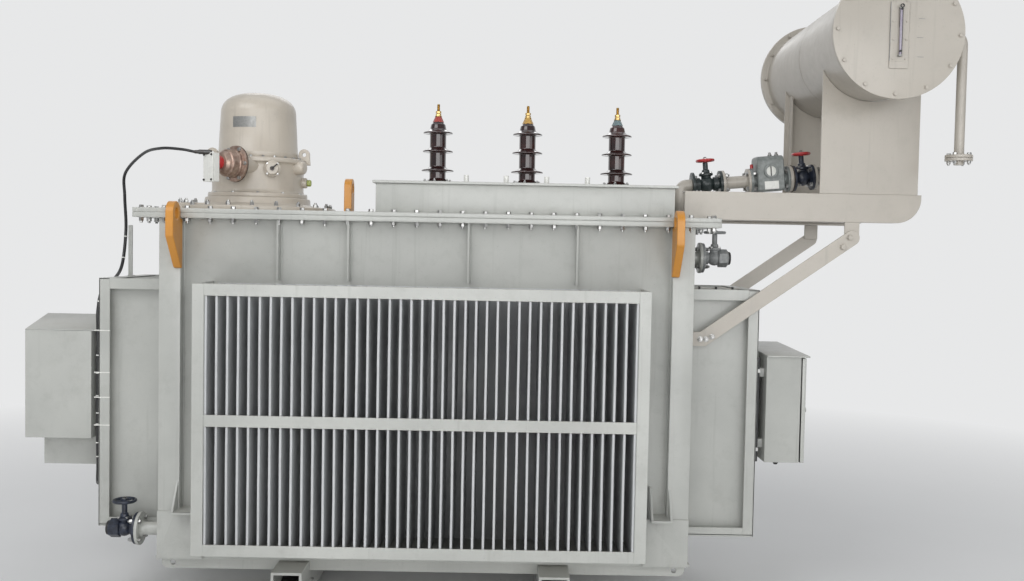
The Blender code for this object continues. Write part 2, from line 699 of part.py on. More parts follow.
def corner_post(name, side_x, side_y):
    """A post on the long wall, with a skirt plate and a jacking bracket at its foot."""
    wall = HALF_WIDTH + GAP
    post_face = HALF_WIDTH + POST_DEPTH
    skirt_face = post_face + SKIRT_THICKNESS
    pad_face = post_face + JACK_PAD_REACH
    low, high = WALL_BOTTOM + GAP, WALL_TOP - GAP
    pad_low = JACK_PAD_HEIGHT - JACK_PAD_THICKNESS
    pad_x = (JACK_PAD_MIDDLE - JACK_PAD_WIDTH / 2, JACK_PAD_MIDDLE + JACK_PAD_WIDTH / 2)
    bite = 0.001

    def across(near, far):
        return sorted((side_y * near, side_y * far))

    def along(near, far):
        return sorted((side_x * near, side_x * far))

    post = shape(name, GREY_PAINT, lambda bm: add_block(
        bm, along(HALF_LENGTH - POST_WIDTH, HALF_LENGTH), across(wall, post_face), (low, high)))
    skirt = tool(name + "_skirt", lambda bm: add_block(
        bm, along(HALF_LENGTH - SKIRT_WIDTH, HALF_LENGTH), across(wall, skirt_face), (low, pad_low + bite)))
    pad = tool(name + "_pad", lambda bm: add_block(
        bm, along(*pad_x), across(wall, pad_face), (pad_low, JACK_PAD_HEIGHT)))
    join(post, skirt, pad)

    foot, head = JACK_PAD_HEIGHT - bite, JACK_PAD_HEIGHT + JACK_GUSSET_HEIGHT
    for index, x in enumerate((pad_x[0] + JACK_GUSSET_THICKNESS / 2, pad_x[1] - JACK_GUSSET_THICKNESS / 2)):
        triangle = [(side_y * wall, foot), (side_y * pad_face, foot), (side_y * post_face, head),
                    (side_y * wall, head)]
        join(post, plate(f"{name}_gusset_{index}", None, [triangle], JACK_GUSSET_THICKNESS,
                         (side_x * x, 0.0, 0.0), FACING_SIDE, TOOLS))


def lifting_lug(name, side_x, side_y):
    """A thick plate on the post, rounded at the top, that stands clear of the cover's edge."""
    seat = HALF_WIDTH + POST_DEPTH + GAP
    clear = RIM_Y + LUG_RIM_CLEARANCE
    face = HALF_WIDTH + POST_DEPTH + LUG_REACH
    radius = (face - clear) / 2
    middle = (face + clear) / 2
    notch = WALL_TOP - LUG_RIM_CLEARANCE
    points = ([(seat, LUG_BOTTOM), (seat + LUG_TIP, LUG_BOTTOM), (face, LUG_SHOULDER)]
              + arc((middle, LUG_TOP - radius), radius, 0, 180, 8)
              + [(clear, notch), (seat, notch)])
    eye = arc((middle, LUG_TOP - LUG_EYE_DROP), LUG_EYE_RADIUS, 0, 360 - 22.5, 15)
    outlines = [[(side_y * u, v) for u, v in path] for path in (points, eye)]
    plate(name, LUG_PAINT, outlines, LUG_THICKNESS, (side_x * LUG_MIDDLE, 0.0, 0.0), FACING_SIDE)


def cover_lug():
    """A single rounded lifting eye on the cover, beside the tap changer."""
    x, y = COVER_LUG_PLACE
    half = COVER_LUG_WIDTH / 2
    foot = COVER_TOP + GAP
    points = [(-half, foot), (half, foot)] + arc((0.0, foot + COVER_LUG_HEIGHT - half), half, 0, 180, 8)
    eye = arc((0.0, foot + COVER_LUG_HEIGHT - half), COVER_LUG_EYE, 0, 360 - 30, 11)
    plate("cover_lug", LUG_PAINT, [points, eye], LUG_THICKNESS, (x, y, 0.0), FACING_SIDE)


# Cooling fins

def fin_comb(count, depth):
    """Plan outline of a folded fin sheet: a back sheet with evenly spaced, round-nosed fins."""
    first = -(count - 1) * FIN_PITCH / 2
    end = -first + FIN_PITCH / 2
    half = FIN_THICKNESS / 2
    nose = depth - FIN_NOSE
    points = [(-end, GAP), (end, GAP), (end, GAP + FIN_SHEET)]
    for index in reversed(range(count)):
        x = first + index * FIN_PITCH
        points += [(x + half, GAP + FIN_SHEET), (x + half, nose), (x + half / 2, depth),
                   (x - half / 2, depth), (x - half, nose), (x - half, GAP + FIN_SHEET)]
    return points + [(-end, GAP + FIN_SHEET)]


def fin_bank(name, count, depth, wall, turn):
    """Fins with the angle frame that guards them. Local y runs outwards from the tank wall.

    The frame's side angles lie against the flanks of the end fins and carry its other bars, which
    pass just ahead of the noses, over the tops and, as a full-depth ledge, under the fins.
    """
    placed = {"at": (math.sin(turn) * -wall, math.cos(turn) * wall, 0.0), "turn": (0.0, 0.0, turn)}
    comb_depth = depth - GUARD_STEEL - GAP
    flank = (count - 1) * FIN_PITCH / 2 + FIN_THICKNESS / 2
    half = flank + GUARD_ANGLE
    bottom, top = FIN_BOTTOM, GUARD_TOP - GUARD_STEEL - GAP
    middle = (MIDDLE_BAR_BOTTOM, MIDDLE_BAR_BOTTOM + MIDDLE_BAR_HEIGHT)
    place = Vector(placed["at"]) + Vector((0.0, 0.0, (bottom + top) / 2))
    comb = plate(name, GREY_PAINT, [fin_comb(count, comb_depth)], top - bottom, place, placed["turn"])

    def frame_face(bm):
        add_block(bm, (-half, half), (depth - GUARD_STEEL, depth), (GUARD_BOTTOM, GUARD_TOP))

    def frame_windows(bm):
        for low, high in ((GUARD_BOTTOM + GUARD_ANGLE, middle[0]), (middle[1], GUARD_TOP - GUARD_ANGLE)):
            add_block(bm, (-flank, flank), (depth - GUARD_ANGLE, depth + GUARD_ANGLE), (low, high))

    def side_returns(bm):
        for side in (-1, 1):
            x = sorted((side * (flank - GUARD_BITE), side * (flank + GUARD_STEEL)))
            add_block(bm, x, (depth - GUARD_ANGLE, depth - GUARD_BITE),
                      (bottom + GUARD_ANGLE, GUARD_TOP - GUARD_BITE))

    def ledge(bm):
        add_block(bm, (-half, half), (GAP, depth - GUARD_BITE), (bottom - GAP - LEDGE_THICKNESS, bottom - GAP))

    def cap(bm):
        add_block(bm, (-half, half), (depth - GUARD_ANGLE, depth - GUARD_BITE),
                  (top + GAP, GUARD_TOP - GUARD_BITE / 2))

    face = tool(name + "_frame", frame_face, **placed)
    cut(face, tool(name + "_windows", frame_windows, **placed))
    join(face, tool(name + "_ledge", ledge, **placed), tool(name + "_cap", cap, **placed))
    join(comb, face, tool(name + "_returns", side_returns, **placed))


# Turret and bushings

def turret():
    shape("turret", GREY_PAINT, lambda bm: add_block(
        bm, (TURRET_LEFT, TURRET_RIGHT), (TURRET_FRONT, TURRET_BACK), (COVER_TOP + GAP, TURRET_TOP)))
    reach = TURRET_LID_REACH
    shape("turret_lid", GREY_PAINT, lambda bm: add_block(
        bm, (TURRET_LEFT - reach, TURRET_RIGHT + reach), (TURRET_FRONT - reach, TURRET_BACK + reach),
        (TURRET_TOP + GAP, TURRET_LID_TOP)))


def bushing_profile():
    """Clamping flange, then a plain column with three drooping sheds and a conical top."""
    flange = [(BUSHING_FLANGE_RADIUS, 0.0), (BUSHING_FLANGE_RADIUS, BUSHING_FLANGE_HEIGHT),
              (BUSHING_RADIUS + 0.008, BUSHING_FLANGE_HEIGHT + 0.010)]
    points = [(0.0, 0.0)] + flange
    for radius, height in zip(BUSHING_SHED_RADII, BUSHING_SHED_HEIGHTS):
        points += [(BUSHING_RADIUS, height - 0.006), (radius - 0.003, height - 0.008),
                   (radius, height - 0.003), (radius - 0.004, height + 0.004),
                   (BUSHING_RADIUS, height + BUSHING_SHED_RISE)]
    points += [(BUSHING_RADIUS * 0.80, BUSHING_HEIGHT - 0.010), (BUSHING_RADIUS * 0.66, BUSHING_HEIGHT),
               (0.0, BUSHING_HEIGHT)]
    return list(reversed(points))


def terminal_profile():
    """Washer, nut, threaded stem and cap nut."""
    nut, stem, height = TERMINAL_NUT_RADIUS, TERMINAL_RADIUS, TERMINAL_HEIGHT
    return [(0.0, height), (stem * 0.7, height), (stem, height - 0.004), (stem, 0.040),
            (nut * 0.75, 0.038), (nut * 0.75, 0.026), (stem * 1.3, 0.024), (stem * 1.3, 0.016),
            (nut, 0.014), (nut, 0.0), (0.0, 0.0)]


def bushings():
    for offset, side in ((-1, "left"), (0, "middle"), (1, "right")):
        place = (TURRET_X + BUSHING_SHIFT + offset * BUSHING_SPACING, TURRET_Y, TURRET_LID_TOP + GAP)
        turned(f"bushing_{side}", PORCELAIN, bushing_profile(), place, sides=ROUND_SIDES)
        top = (place[0], place[1], place[2] + BUSHING_HEIGHT + GAP)
        turned(f"terminal_{side}", BRASS, terminal_profile(), top, sides=SMALL_SIDES)


# Tap changer

def changer_base():
    """Stepped mounting ring on the cover, with a small bolted side cover on its left."""
    r, step, h = CHANGER_BASE_RADIUS, CHANGER_BASE_STEP, CHANGER_BASE_HEIGHT
    profile = [(0.0, h), (step, h), (step + 0.004, h - 0.004), (step + 0.012, h * 0.45),
               (r - 0.004, h * 0.40), (r, h * 0.34), (r, 0.0), (0.0, 0.0)]
    ring = turned("tap_changer_base", CREAM_PAINT, profile, (CHANGER_X, 0.0, COVER_TOP + GAP),
                  sides=FINE_SIDES)

    def side_cover(bm):
        low = COVER_TOP + GAP
        add_block(bm, (CHANGER_X - r + 0.05, CHANGER_X - r + 0.15), (-r * 0.72, -r * 0.3),
                  (low, low + CHANGER_SIDE_COVER))

    join(ring, tool("changer_side_cover", side_cover))


def relief_line():
    """Direction of the relief valve's axis, and where that axis passes beside the head's own."""
    direction = math.radians(270 - RELIEF_TURN)
    out = Vector((math.cos(direction), math.sin(direction), 0.0))
    return out, Vector((-out.y * RELIEF_OFFSET, out.x * RELIEF_OFFSET, RELIEF_HEIGHT))


def changer_head():
    """Cast head: barrel, top ring with two lifting ears, a stub pipe on the front and one on the right."""
    r, ring, h = CHANGER_HEAD_RADIUS, CHANGER_RING_RADIUS, CHANGER_HEAD_HEIGHT
    profile = [(0.0, h), (ring, h), (ring, h - CHANGER_RING_THICKNESS),
               (r, h - CHANGER_RING_THICKNESS - 0.010), (r, 0.020), (r + 0.018, 0.014),
               (r + 0.018, 0.0), (0.0, 0.0)]
    place = (CHANGER_X, 0.0, CHANGER_HEAD_BOTTOM)
    head = turned("tap_changer_head", CREAM_PAINT, profile, place, sides=FINE_SIDES)

    def stubs(bm):
        x, z = FRONT_BOSS_PLACE, FRONT_BOSS_RISE
        add_rod(bm, (x, -r * 0.6, z), (x * 1.15, -r - BOSS_REACH / 2, z), FRONT_BOSS_RADIUS)
        z = RIGHT_BOSS_RISE
        add_rod(bm, (r * 0.7, 0.0, z), (r + BOSS_REACH, 0.0, z), RIGHT_BOSS_RADIUS)

    out, beside = relief_line()

    def relief_seat(bm):
        add_rod(bm, beside + out * (r * 0.6), beside + out * (r + RELIEF_STUB), RELIEF_NECK_RADIUS)

    join(head, tool("changer_stubs", stubs, place), tool("changer_relief_seat", relief_seat, place))
    ear = CHANGER_EAR_RADIUS
    for index, side in enumerate((-1, 1)):
        outline = [(-ear, -0.020), (ear, -0.020)] + arc((0.0, CHANGER_EAR_RISE - ear), ear, 0, 180, 6)
        eye = arc((0.0, CHANGER_EAR_RISE - ear), CHANGER_EAR_EYE, 0, 315, 7)
        join(head, plate(f"changer_ear_{index}", None, [outline, eye], CHANGER_EAR_THICKNESS,
                         (CHANGER_X + side * (ring - ear * 0.35), 0.0, CHANGER_HEAD_BOTTOM + h), FACING_FRONT,
                         TOOLS))


def changer_dome():
    """Bell-shaped cover: slightly tapered wall and a wide rounded shoulder."""
    r, h, s = CHANGER_DOME_RADIUS, CHANGER_DOME_HEIGHT, CHANGER_DOME_SHOULDER
    top_r = r - CHANGER_DOME_TAPER
    crown = 0.020
    shoulder = arc((top_r - s, h - s - crown), s, 90, 0, 6)
    profile = [(0.0, h), ((top_r - s) * 0.6, h - crown * 0.35)] + shoulder + [(r, 0.0), (0.0, 0.0)]
    turned("tap_changer_dome", CREAM_PAINT, profile, (CHANGER_X, 0.0, CHANGER_DOME_BOTTOM),
           sides=FINE_SIDES)


def relief_valve():
    """Flange, stepped bell and collar, with the switch box on the collar's end."""
    out, beside = relief_line()
    start = (Vector((CHANGER_X, 0.0, CHANGER_HEAD_BOTTOM)) + beside
             + out * (CHANGER_HEAD_RADIUS + RELIEF_STUB + GAP))
    turn = out.to_track_quat("Z", "Y").to_euler()
    flange, bell, collar = RELIEF_FLANGE_RADIUS, RELIEF_BELL_RADIUS, RELIEF_COLLAR_RADIUS
    a = RELIEF_FLANGE_THICKNESS
    b = a + RELIEF_BELL_LENGTH
    c = b + RELIEF_COLLAR_LENGTH
    profile = [(0.0, c), (collar, c), (collar, b), (bell * 0.7, b - 0.004), (bell * 0.86, b - 0.022),
               (bell, a + 0.030), (bell, a), (flange, a), (flange, 0.0), (0.0, 0.0)]
    valve = turned("relief_valve", CAST_METAL, profile, start, turn)
    width, depth, height = SWITCH_BOX_SIZE
    centre = start + out * (c + depth / 2 - 0.004)
    box_turn = (0.0, 0.0, math.radians(-RELIEF_TURN))
    join(valve, tool("relief_switch_box", lambda bm: add_block(
        bm, (-width / 2, width / 2), (-depth / 2, depth / 2), (-height / 2, height / 2)), centre, box_turn))
    return centre


# Conservator and its stand

def conservator():
    """Open drum with a flange at each end, closed by two bolted end plates."""
    half = CONSERVATOR_LENGTH / 2 - END_PLATE_THICKNESS - GAP
    middle = CONSERVATOR_FRONT + CONSERVATOR_LENGTH / 2
    inner = DRUM_RADIUS - DRUM_WALL
    rim = half - DRUM_FLANGE_THICKNESS
    profile = [(inner, half), (END_PLATE_RADIUS, half), (END_PLATE_RADIUS, rim), (DRUM_RADIUS, rim),
               (DRUM_RADIUS, -rim), (END_PLATE_RADIUS, -rim), (END_PLATE_RADIUS, -half), (inner, -half),
               (inner, half)]
    axis = (math.radians(90), 0.0, 0.0)
    turned("conservator_drum", CREAM_PAINT, profile, (CONSERVATOR_X, middle, CONSERVATOR_Z), axis,
           FINE_SIDES)
    disc = [(0.0, END_PLATE_THICKNESS / 2), (END_PLATE_RADIUS, END_PLATE_THICKNESS / 2),
            (END_PLATE_RADIUS, -END_PLATE_THICKNESS / 2), (0.0, -END_PLATE_THICKNESS / 2)]
    reach = CONSERVATOR_LENGTH / 2 - END_PLATE_THICKNESS / 2
    for side, direction in (("front", -1), ("back", 1)):
        turned(f"conservator_end_{side}", CREAM_PAINT, disc,
               (CONSERVATOR_X, middle + direction * reach, CONSERVATOR_Z), axis, FINE_SIDES)


def saddle_height(x):
    """Height at which a leg meets the drum, x measured from the drum's axis."""
    reach = min(abs(x), SADDLE_RADIUS)
    return CONSERVATOR_Z - math.sqrt(SADDLE_RADIUS ** 2 - reach ** 2)


def leg_outline():
    """Front view of a leg: straight sides, and a saddle cut to the drum along the top."""
    left, right = -LEG_WIDTH / 2, LEG_WIDTH / 2
    ends = [max(-1.0, min(1.0, x / SADDLE_RADIUS)) for x in (left, right)]
    start, end = [-math.degrees(math.acos(share)) for share in ends]
    foot = BEAM_TOP + GAP
    return ([(right, saddle_height(right)), (right, foot), (left, foot), (left, saddle_height(left))]
            + arc((0.0, CONSERVATOR_Z), SADDLE_RADIUS, start, end, SADDLE_STEPS))


def conservator_leg(side, face, direction):
    """Wide web plate with both sides turned back as flanges."""
    middle = face + direction * LEG_STEEL / 2
    web = plate(f"conservator_leg_{side}", CREAM_PAINT, [leg_outline()], LEG_STEEL,
                (CONSERVATOR_X, middle, 0.0), FACING_FRONT)
    left, right = CONSERVATOR_X - LEG_WIDTH / 2, CONSERVATOR_X + LEG_WIDTH / 2
    y = sorted((face + direction * LEG_STEEL / 2, face + direction * LEG_RETURN))
    foot = BEAM_TOP + GAP

    def returns(bm):
        for outer, inward in ((left, 1), (right, -1)):
            inner = outer + inward * LEG_STEEL
            top = min(saddle_height(outer - CONSERVATOR_X), saddle_height(inner - CONSERVATOR_X))
            add_block(bm, sorted((outer, inner)), y, (foot, top))

    join(web, tool(f"leg_returns_{side}", returns))


def conservator_beam(side, face, direction):
    """Channel bolted to the cover's end, cantilevered, with a rounded lower far corner."""
    r = BEAM_CORNER_RADIUS
    outline = ([(BEAM_LEFT, BEAM_TOP), (BEAM_LEFT, BEAM_BOTTOM)]
               + arc((BEAM_RIGHT - r, BEAM_BOTTOM + r), r, 270, 360, 6) + [(BEAM_RIGHT, BEAM_TOP)])
    web = plate(f"conservator_beam_{side}", CREAM_PAINT, [outline], BEAM_STEEL,
                (0.0, face + direction * BEAM_STEEL / 2, 0.0), FACING_FRONT)
    y = sorted((face + direction * BEAM_STEEL / 2, face + direction * BEAM_FLANGE))

    def flanges(bm):
        add_block(bm, (BEAM_LEFT, BEAM_RIGHT), y, (BEAM_TOP - BEAM_STEEL, BEAM_TOP))
        add_block(bm, (BEAM_LEFT, BEAM_RIGHT - r), y, (BEAM_BOTTOM, BEAM_BOTTOM + BEAM_STEEL))

    join(web, tool(f"beam_flanges_{side}", flanges))


def conservator_strut(side, face, direction):
    """Sloping flat bar, rounded at its head, on two bracket plates: on the end wall and under the beam."""
    low, high = Vector(STRUT_LOW), Vector(STRUT_HIGH)
    along = (high - low).normalized()
    across = Vector((-along.y, along.x)) * STRUT_WIDTH / 2
    end = along * STRUT_WIDTH / 2
    slope = math.degrees(math.atan2(along.y, along.x))
    foot = [tuple(p) for p in (low + across - end * 0.4, low + across * 0.4 - end, low - across * 0.4 - end,
                               low - across - end * 0.4)]
    bar = foot + arc(high, STRUT_WIDTH / 2, slope - 90, slope + 90, 8)
    strut = plate(f"conservator_strut_{side}", CREAM_PAINT, [bar], STRUT_THICKNESS,
                  (0.0, face - direction * STRUT_THICKNESS / 2, 0.0), FACING_FRONT)
    wall = HALF_LENGTH + GAP
    beam = BEAM_BOTTOM - GAP
    y = sorted((face - direction * GUARD_BITE, face + direction * STRUT_PLATE))
    half = STRUT_WIDTH * 0.85

    def end_plates(bm):
        add_block(bm, (wall, low.x + half * 0.5), y, (low.y - half, low.y + half))
        add_block(bm, (high.x - half, high.x + half), y, (high.y - half * 0.5, beam))

    join(strut, tool(f"strut_plates_{side}", end_plates))


def level_gauge():
    """Backing plate with a glass tube held between two end blocks."""
    face = CONSERVATOR_FRONT - GAP
    half = GAUGE_WIDTH / 2
    plate_y = (face - GAUGE_PLATE, face)

    gauge = shape("oil_level_gauge", GAUGE_WHITE, lambda bm: add_block(
        bm, (-half, half), plate_y, (GAUGE_BOTTOM, GAUGE_TOP)), (CONSERVATOR_X, 0.0, 0.0))

    def blocks(bm):
        block = GAUGE_HEIGHT * 0.11
        for low in (GAUGE_BOTTOM + 0.004, GAUGE_TOP - 0.004 - block):
            add_block(bm, (-half * 0.5, half * 0.5), (face - GAUGE_STAND_OFF - GAUGE_TUBE_RADIUS,
                                                      face - GAUGE_PLATE / 2), (low, low + block))

    def glass(bm):
        y = face - GAUGE_STAND_OFF + GAUGE_TUBE_RADIUS * 0.4
        add_rod(bm, (0.0, y, GAUGE_BOTTOM + 0.012), (0.0, y, GAUGE_TOP - 0.012), GAUGE_TUBE_RADIUS,
                SMALL_SIDES)

    join(gauge, tool("gauge_blocks", blocks, (CONSERVATOR_X, 0.0, 0.0)),
         tool("gauge_glass", glass, (CONSERVATOR_X, 0.0, 0.0)))


def breather_pipe():
    """Pipe that leaves the drum's side, bends down and ends in a flange."""
    side = CONSERVATOR_X + DRUM_RADIUS + GAP * 3
    level = CONSERVATOR_Z
    route = rounded_bend([(side, BREATHER_Y, level), (BREATHER_X, BREATHER_Y, level),
                          (BREATHER_X, BREATHER_Y, BREATHER_BOTTOM)], BREATHER_STAND_OFF - BREATHER_NOZZLE)
    pipe = tube("breather_pipe", CREAM_PAINT, route, BREATHER_RADIUS)
    z = BREATHER_FLANGE_HEIGHT
    join(pipe, tool("breather_flange", lambda bm: add_rod(
        bm, (BREATHER_X, BREATHER_Y, z - BREATHER_FLANGE_THICKNESS / 2),
        (BREATHER_X, BREATHER_Y, z + BREATHER_FLANGE_THICKNESS / 2), BREATHER_FLANGE_RADIUS, FINE_SIDES)))


# Valves and handwheels

def valve_body(name, paint, length, flange, bore, lift, at, turn, cap=False):
    """Valve along local X from 0 to length: two flanges, a round body, and a spindle up local Z."""
    t = OIL_FLANGE_THICKNESS
    mid = length / 2
    body_r = bore * 1.25

    def run(bm):
        add_rod(bm, (0.0, 0.0, 0.0), (length, 0.0, 0.0), bore)

    body = shape(name, paint, run, at, turn)

    def flanges(bm):
        for low in (0.0, length - t):
            add_rod(bm, (low, 0.0, 0.0), (low + t, 0.0, 0.0), flange)

    def barrel(bm):
        bmesh.ops.create_uvsphere(bm, u_segments=12, v_segments=7, radius=body_r,
                                  matrix=Matrix.Translation((mid, 0.0, 0.0)))

    def bonnet(bm):
        add_rod(bm, (mid, 0.0, 0.0), (mid, 0.0, body_r + 0.022), bore * 0.72, SMALL_SIDES)

    def bonnet_flange(bm):
        add_rod(bm, (mid, 0.0, body_r + 0.006), (mid, 0.0, body_r + 0.016), bore * 1.1, SMALL_SIDES)

    def gland(bm):
        add_rod(bm, (mid, 0.0, body_r + 0.012), (mid, 0.0, lift - WHEEL_HUB_HEIGHT / 2 - GAP),
                SPINDLE_SHOULDER, SMALL_SIDES)

    def spindle(bm):
        top = lift + WHEEL_HUB_HEIGHT / 2 + WHEEL_NUT_HEIGHT
        add_rod(bm, (mid, 0.0, body_r), (mid, 0.0, top), SPINDLE_RADIUS, SMALL_SIDES)

    tools = [flanges, barrel, bonnet, bonnet_flange, gland, spindle]
    for build in tools:
        join(body, tool(f"{name}_{build.__name__}", build, at, turn))
    if cap:
        def end_cap(bm):
            add_rod(bm, (length - 0.002, 0.0, 0.0), (length + 0.024, 0.0, 0.0), bore * 1.15)

        join(body, tool(f"{name}_end_cap", end_cap, at, turn))
    return body


def handwheel(name, paint, radius, at, turn):
    """Round rim on spokes about a bored hub, turned about its own Z."""
    inner = SPINDLE_RADIUS + SPINDLE_CLEARANCE
    half = WHEEL_HUB_HEIGHT / 2
    hub_profile = [(inner, half), (WHEEL_HUB_RADIUS, half), (WHEEL_HUB_RADIUS, -half), (inner, -half),
                   (inner, half)]
    hub = turned(name, paint, hub_profile, at, turn, SMALL_SIDES)
    ring = radius - WHEEL_RIM_RADIUS
    section = arc((ring, 0.0), WHEEL_RIM_RADIUS, 90, -270, 5)
    rim = turned(name + "_rim", None, section, at, turn, ROUND_SIDES, TOOLS)

    def spokes(bm):
        for index in range(WHEEL_SPOKES):
            angle = math.tau * (index + 0.5) / WHEEL_SPOKES
            out = Vector((math.cos(angle), math.sin(angle), 0.0))
            add_rod(bm, out * (WHEEL_HUB_RADIUS - 0.003), out * ring, WHEEL_RIM_RADIUS * 0.62, 4)

    join(hub, rim, tool(name + "_spokes", spokes, at, turn))


# Oil line from the cover to the conservator

SLOPE = math.radians(OIL_PIPE_SLOPE)
OIL_DIRECTION = Vector((math.cos(SLOPE), 0.0, math.sin(SLOPE)))
OIL_TURN = (0.0, -SLOPE, 0.0)
OIL_START = Vector((OIL_OUTLET_X, 0.0, COVER_TOP + OIL_PIPE_RISE))


def along_oil_line(distance):
    return OIL_START + OIL_DIRECTION * distance


def flange_tool(name, distance, toward):
    """A flange face at a distance along the oil line, its thickness on the given side."""
    def build(bm):
        start = along_oil_line(distance)
        add_rod(bm, start, start + OIL_DIRECTION * OIL_FLANGE_THICKNESS * toward, OIL_FLANGE_RADIUS)
    return tool(name, build)


def oil_line():
    low_start = LOW_VALVE_START
    low_end = low_start + LOW_VALVE_LENGTH
    relay_start = low_end + RELAY_PIPE_LENGTH
    relay_end = relay_start + RELAY_LENGTH
    high_start = relay_end + HIGH_VALVE_GAP
    high_end = high_start + HIGH_VALVE_LENGTH

    # Lower valve with the elbow that brings it up from the cover
    foot = (OIL_START.x, OIL_START.y, COVER_TOP + GAP)
    valve = valve_body("oil_valve_low", DARK_PAINT, LOW_VALVE_LENGTH, OIL_FLANGE_RADIUS, OIL_PIPE_RADIUS,
                       OIL_WHEEL_LIFT, along_oil_line(low_start), OIL_TURN)
    bend = rounded_bend([foot, OIL_START, along_oil_line(low_start + 0.002)], OIL_BEND * 0.6)
    base = tool("oil_outlet_foot", lambda bm: add_rod(
        bm, foot, (foot[0], foot[1], foot[2] + OIL_FLANGE_THICKNESS), OIL_FLANGE_RADIUS))
    join(valve, tube("oil_outlet_elbow", None, bend, OIL_PIPE_RADIUS * 0.95, TOOLS), base)

    # Relay and upper valve
    gas_relay(low_end + GAP, relay_start, relay_end, high_start - GAP)
    valve_body("oil_valve_high", DARK_PAINT, HIGH_VALVE_LENGTH, OIL_FLANGE_RADIUS, OIL_PIPE_RADIUS,
               OIL_WHEEL_LIFT, along_oil_line(high_start), OIL_TURN)

    # Pipe from the upper valve into the underside of the drum
    corner = along_oil_line((CONSERVATOR_X - OIL_START.x) / OIL_DIRECTION.x)
    drum_underside = CONSERVATOR_Z - DRUM_RADIUS - 0.003
    rise = rounded_bend([along_oil_line(high_end + GAP), corner,
                         (corner.x, corner.y, drum_underside)], OIL_BEND)
    riser = tube("oil_riser_pipe", CREAM_PAINT, rise, OIL_PIPE_RADIUS)
    join(riser, flange_tool("riser_flange", high_end + GAP, 1))

    lift = Matrix.Rotation(-SLOPE, 3, "Y") @ Vector((0.0, 0.0, OIL_WHEEL_LIFT))
    for side, start, length in (("low", low_start, LOW_VALVE_LENGTH), ("high", high_start, HIGH_VALVE_LENGTH)):
        middle = along_oil_line(start + length / 2) + lift
        handwheel(f"oil_valve_wheel_{side}", RED_PAINT, OIL_WHEEL_RADIUS, middle, OIL_TURN)


def gas_relay(pipe_start, start, end, pipe_end):
    """Relay housing with its inlet pipe, flanges, round-topped body and a small test cock."""
    length = end - start
    at = along_oil_line(start)
    half = RELAY_WIDTH / 2
    low, high = -RELAY_DROP, RELAY_HEIGHT - RELAY_DROP
    crown = 0.028
    section = ([(-half, low), (half, low)] + arc((half - crown, high - crown), crown, 0, 90, 3)
               + arc((-half + crown, high - crown), crown, 90, 180, 3))
    body_length = length * 0.62
    relay = plate("gas_relay", RELAY_PAINT, [section], body_length, at + OIL_DIRECTION * length / 2,
                  (math.radians(90), 0.0, math.radians(90)))
    relay.rotation_euler = (Euler(OIL_TURN).to_matrix()
                            @ Euler(FACING_SIDE).to_matrix()).to_euler()

    def run(bm):
        add_rod(bm, along_oil_line(pipe_start), along_oil_line(pipe_end), OIL_PIPE_RADIUS)

    flanges = [flange_tool("relay_pipe_near", pipe_start, 1), flange_tool("relay_pipe_far", start, 1),
               flange_tool("relay_flange_end", end, -1), flange_tool("relay_outlet", pipe_end, -1)]

    def cock(bm):
        add_rod(bm, (length / 2, 0.0, high - 0.004), (length / 2, 0.0, high + 0.030), 0.009, SMALL_SIDES)

    join(relay, tool("relay_run", run), *flanges, tool("relay_cock", cock, at, OIL_TURN))


# Filter and drain valves

def end_wall_valve(name, side, y, z, paint):
    """Stub pipe from the tank's end wall, a flanged valve and its handwheel."""
    turn = (0.0, 0.0, 0.0) if side > 0 else (0.0, 0.0, math.radians(180))
    at = (side * (HALF_LENGTH + GAP), y, z)
    stub = SIDE_VALVE_STUB
    start = (side * (HALF_LENGTH + GAP + stub), y, z)
    body = valve_body(name, paint, SIDE_VALVE_LENGTH, SIDE_FLANGE_RADIUS, SIDE_PIPE_RADIUS,
                      SIDE_WHEEL_LIFT, start, turn, True)

    def pipe(bm):
        add_rod(bm, (0.0, 0.0, 0.0), (stub + 0.004, 0.0, 0.0), SIDE_PIPE_RADIUS * 1.05)

    def wall_flange(bm):
        add_rod(bm, (stub - 0.014, 0.0, 0.0), (stub + 0.001, 0.0, 0.0), SIDE_FLANGE_RADIUS * 1.03)

    join(body, tool(name + "_pipe", pipe, at, turn), tool(name + "_wall_flange", wall_flange, at, turn))
    middle = (side * (HALF_LENGTH + GAP + stub + SIDE_VALVE_LENGTH / 2), y, z + SIDE_WHEEL_LIFT)
    handwheel(name + "_wheel", DARK_PAINT, SIDE_WHEEL_RADIUS, middle, turn)


# Cabinets

def sloped_roof(y, low, rise, thickness):
    """Side outline, in y and z, of a roof sheet that climbs to the back."""
    return [(y[0], low), (y[1], low + rise), (y[1], low + rise + thickness), (y[0], low + thickness)]


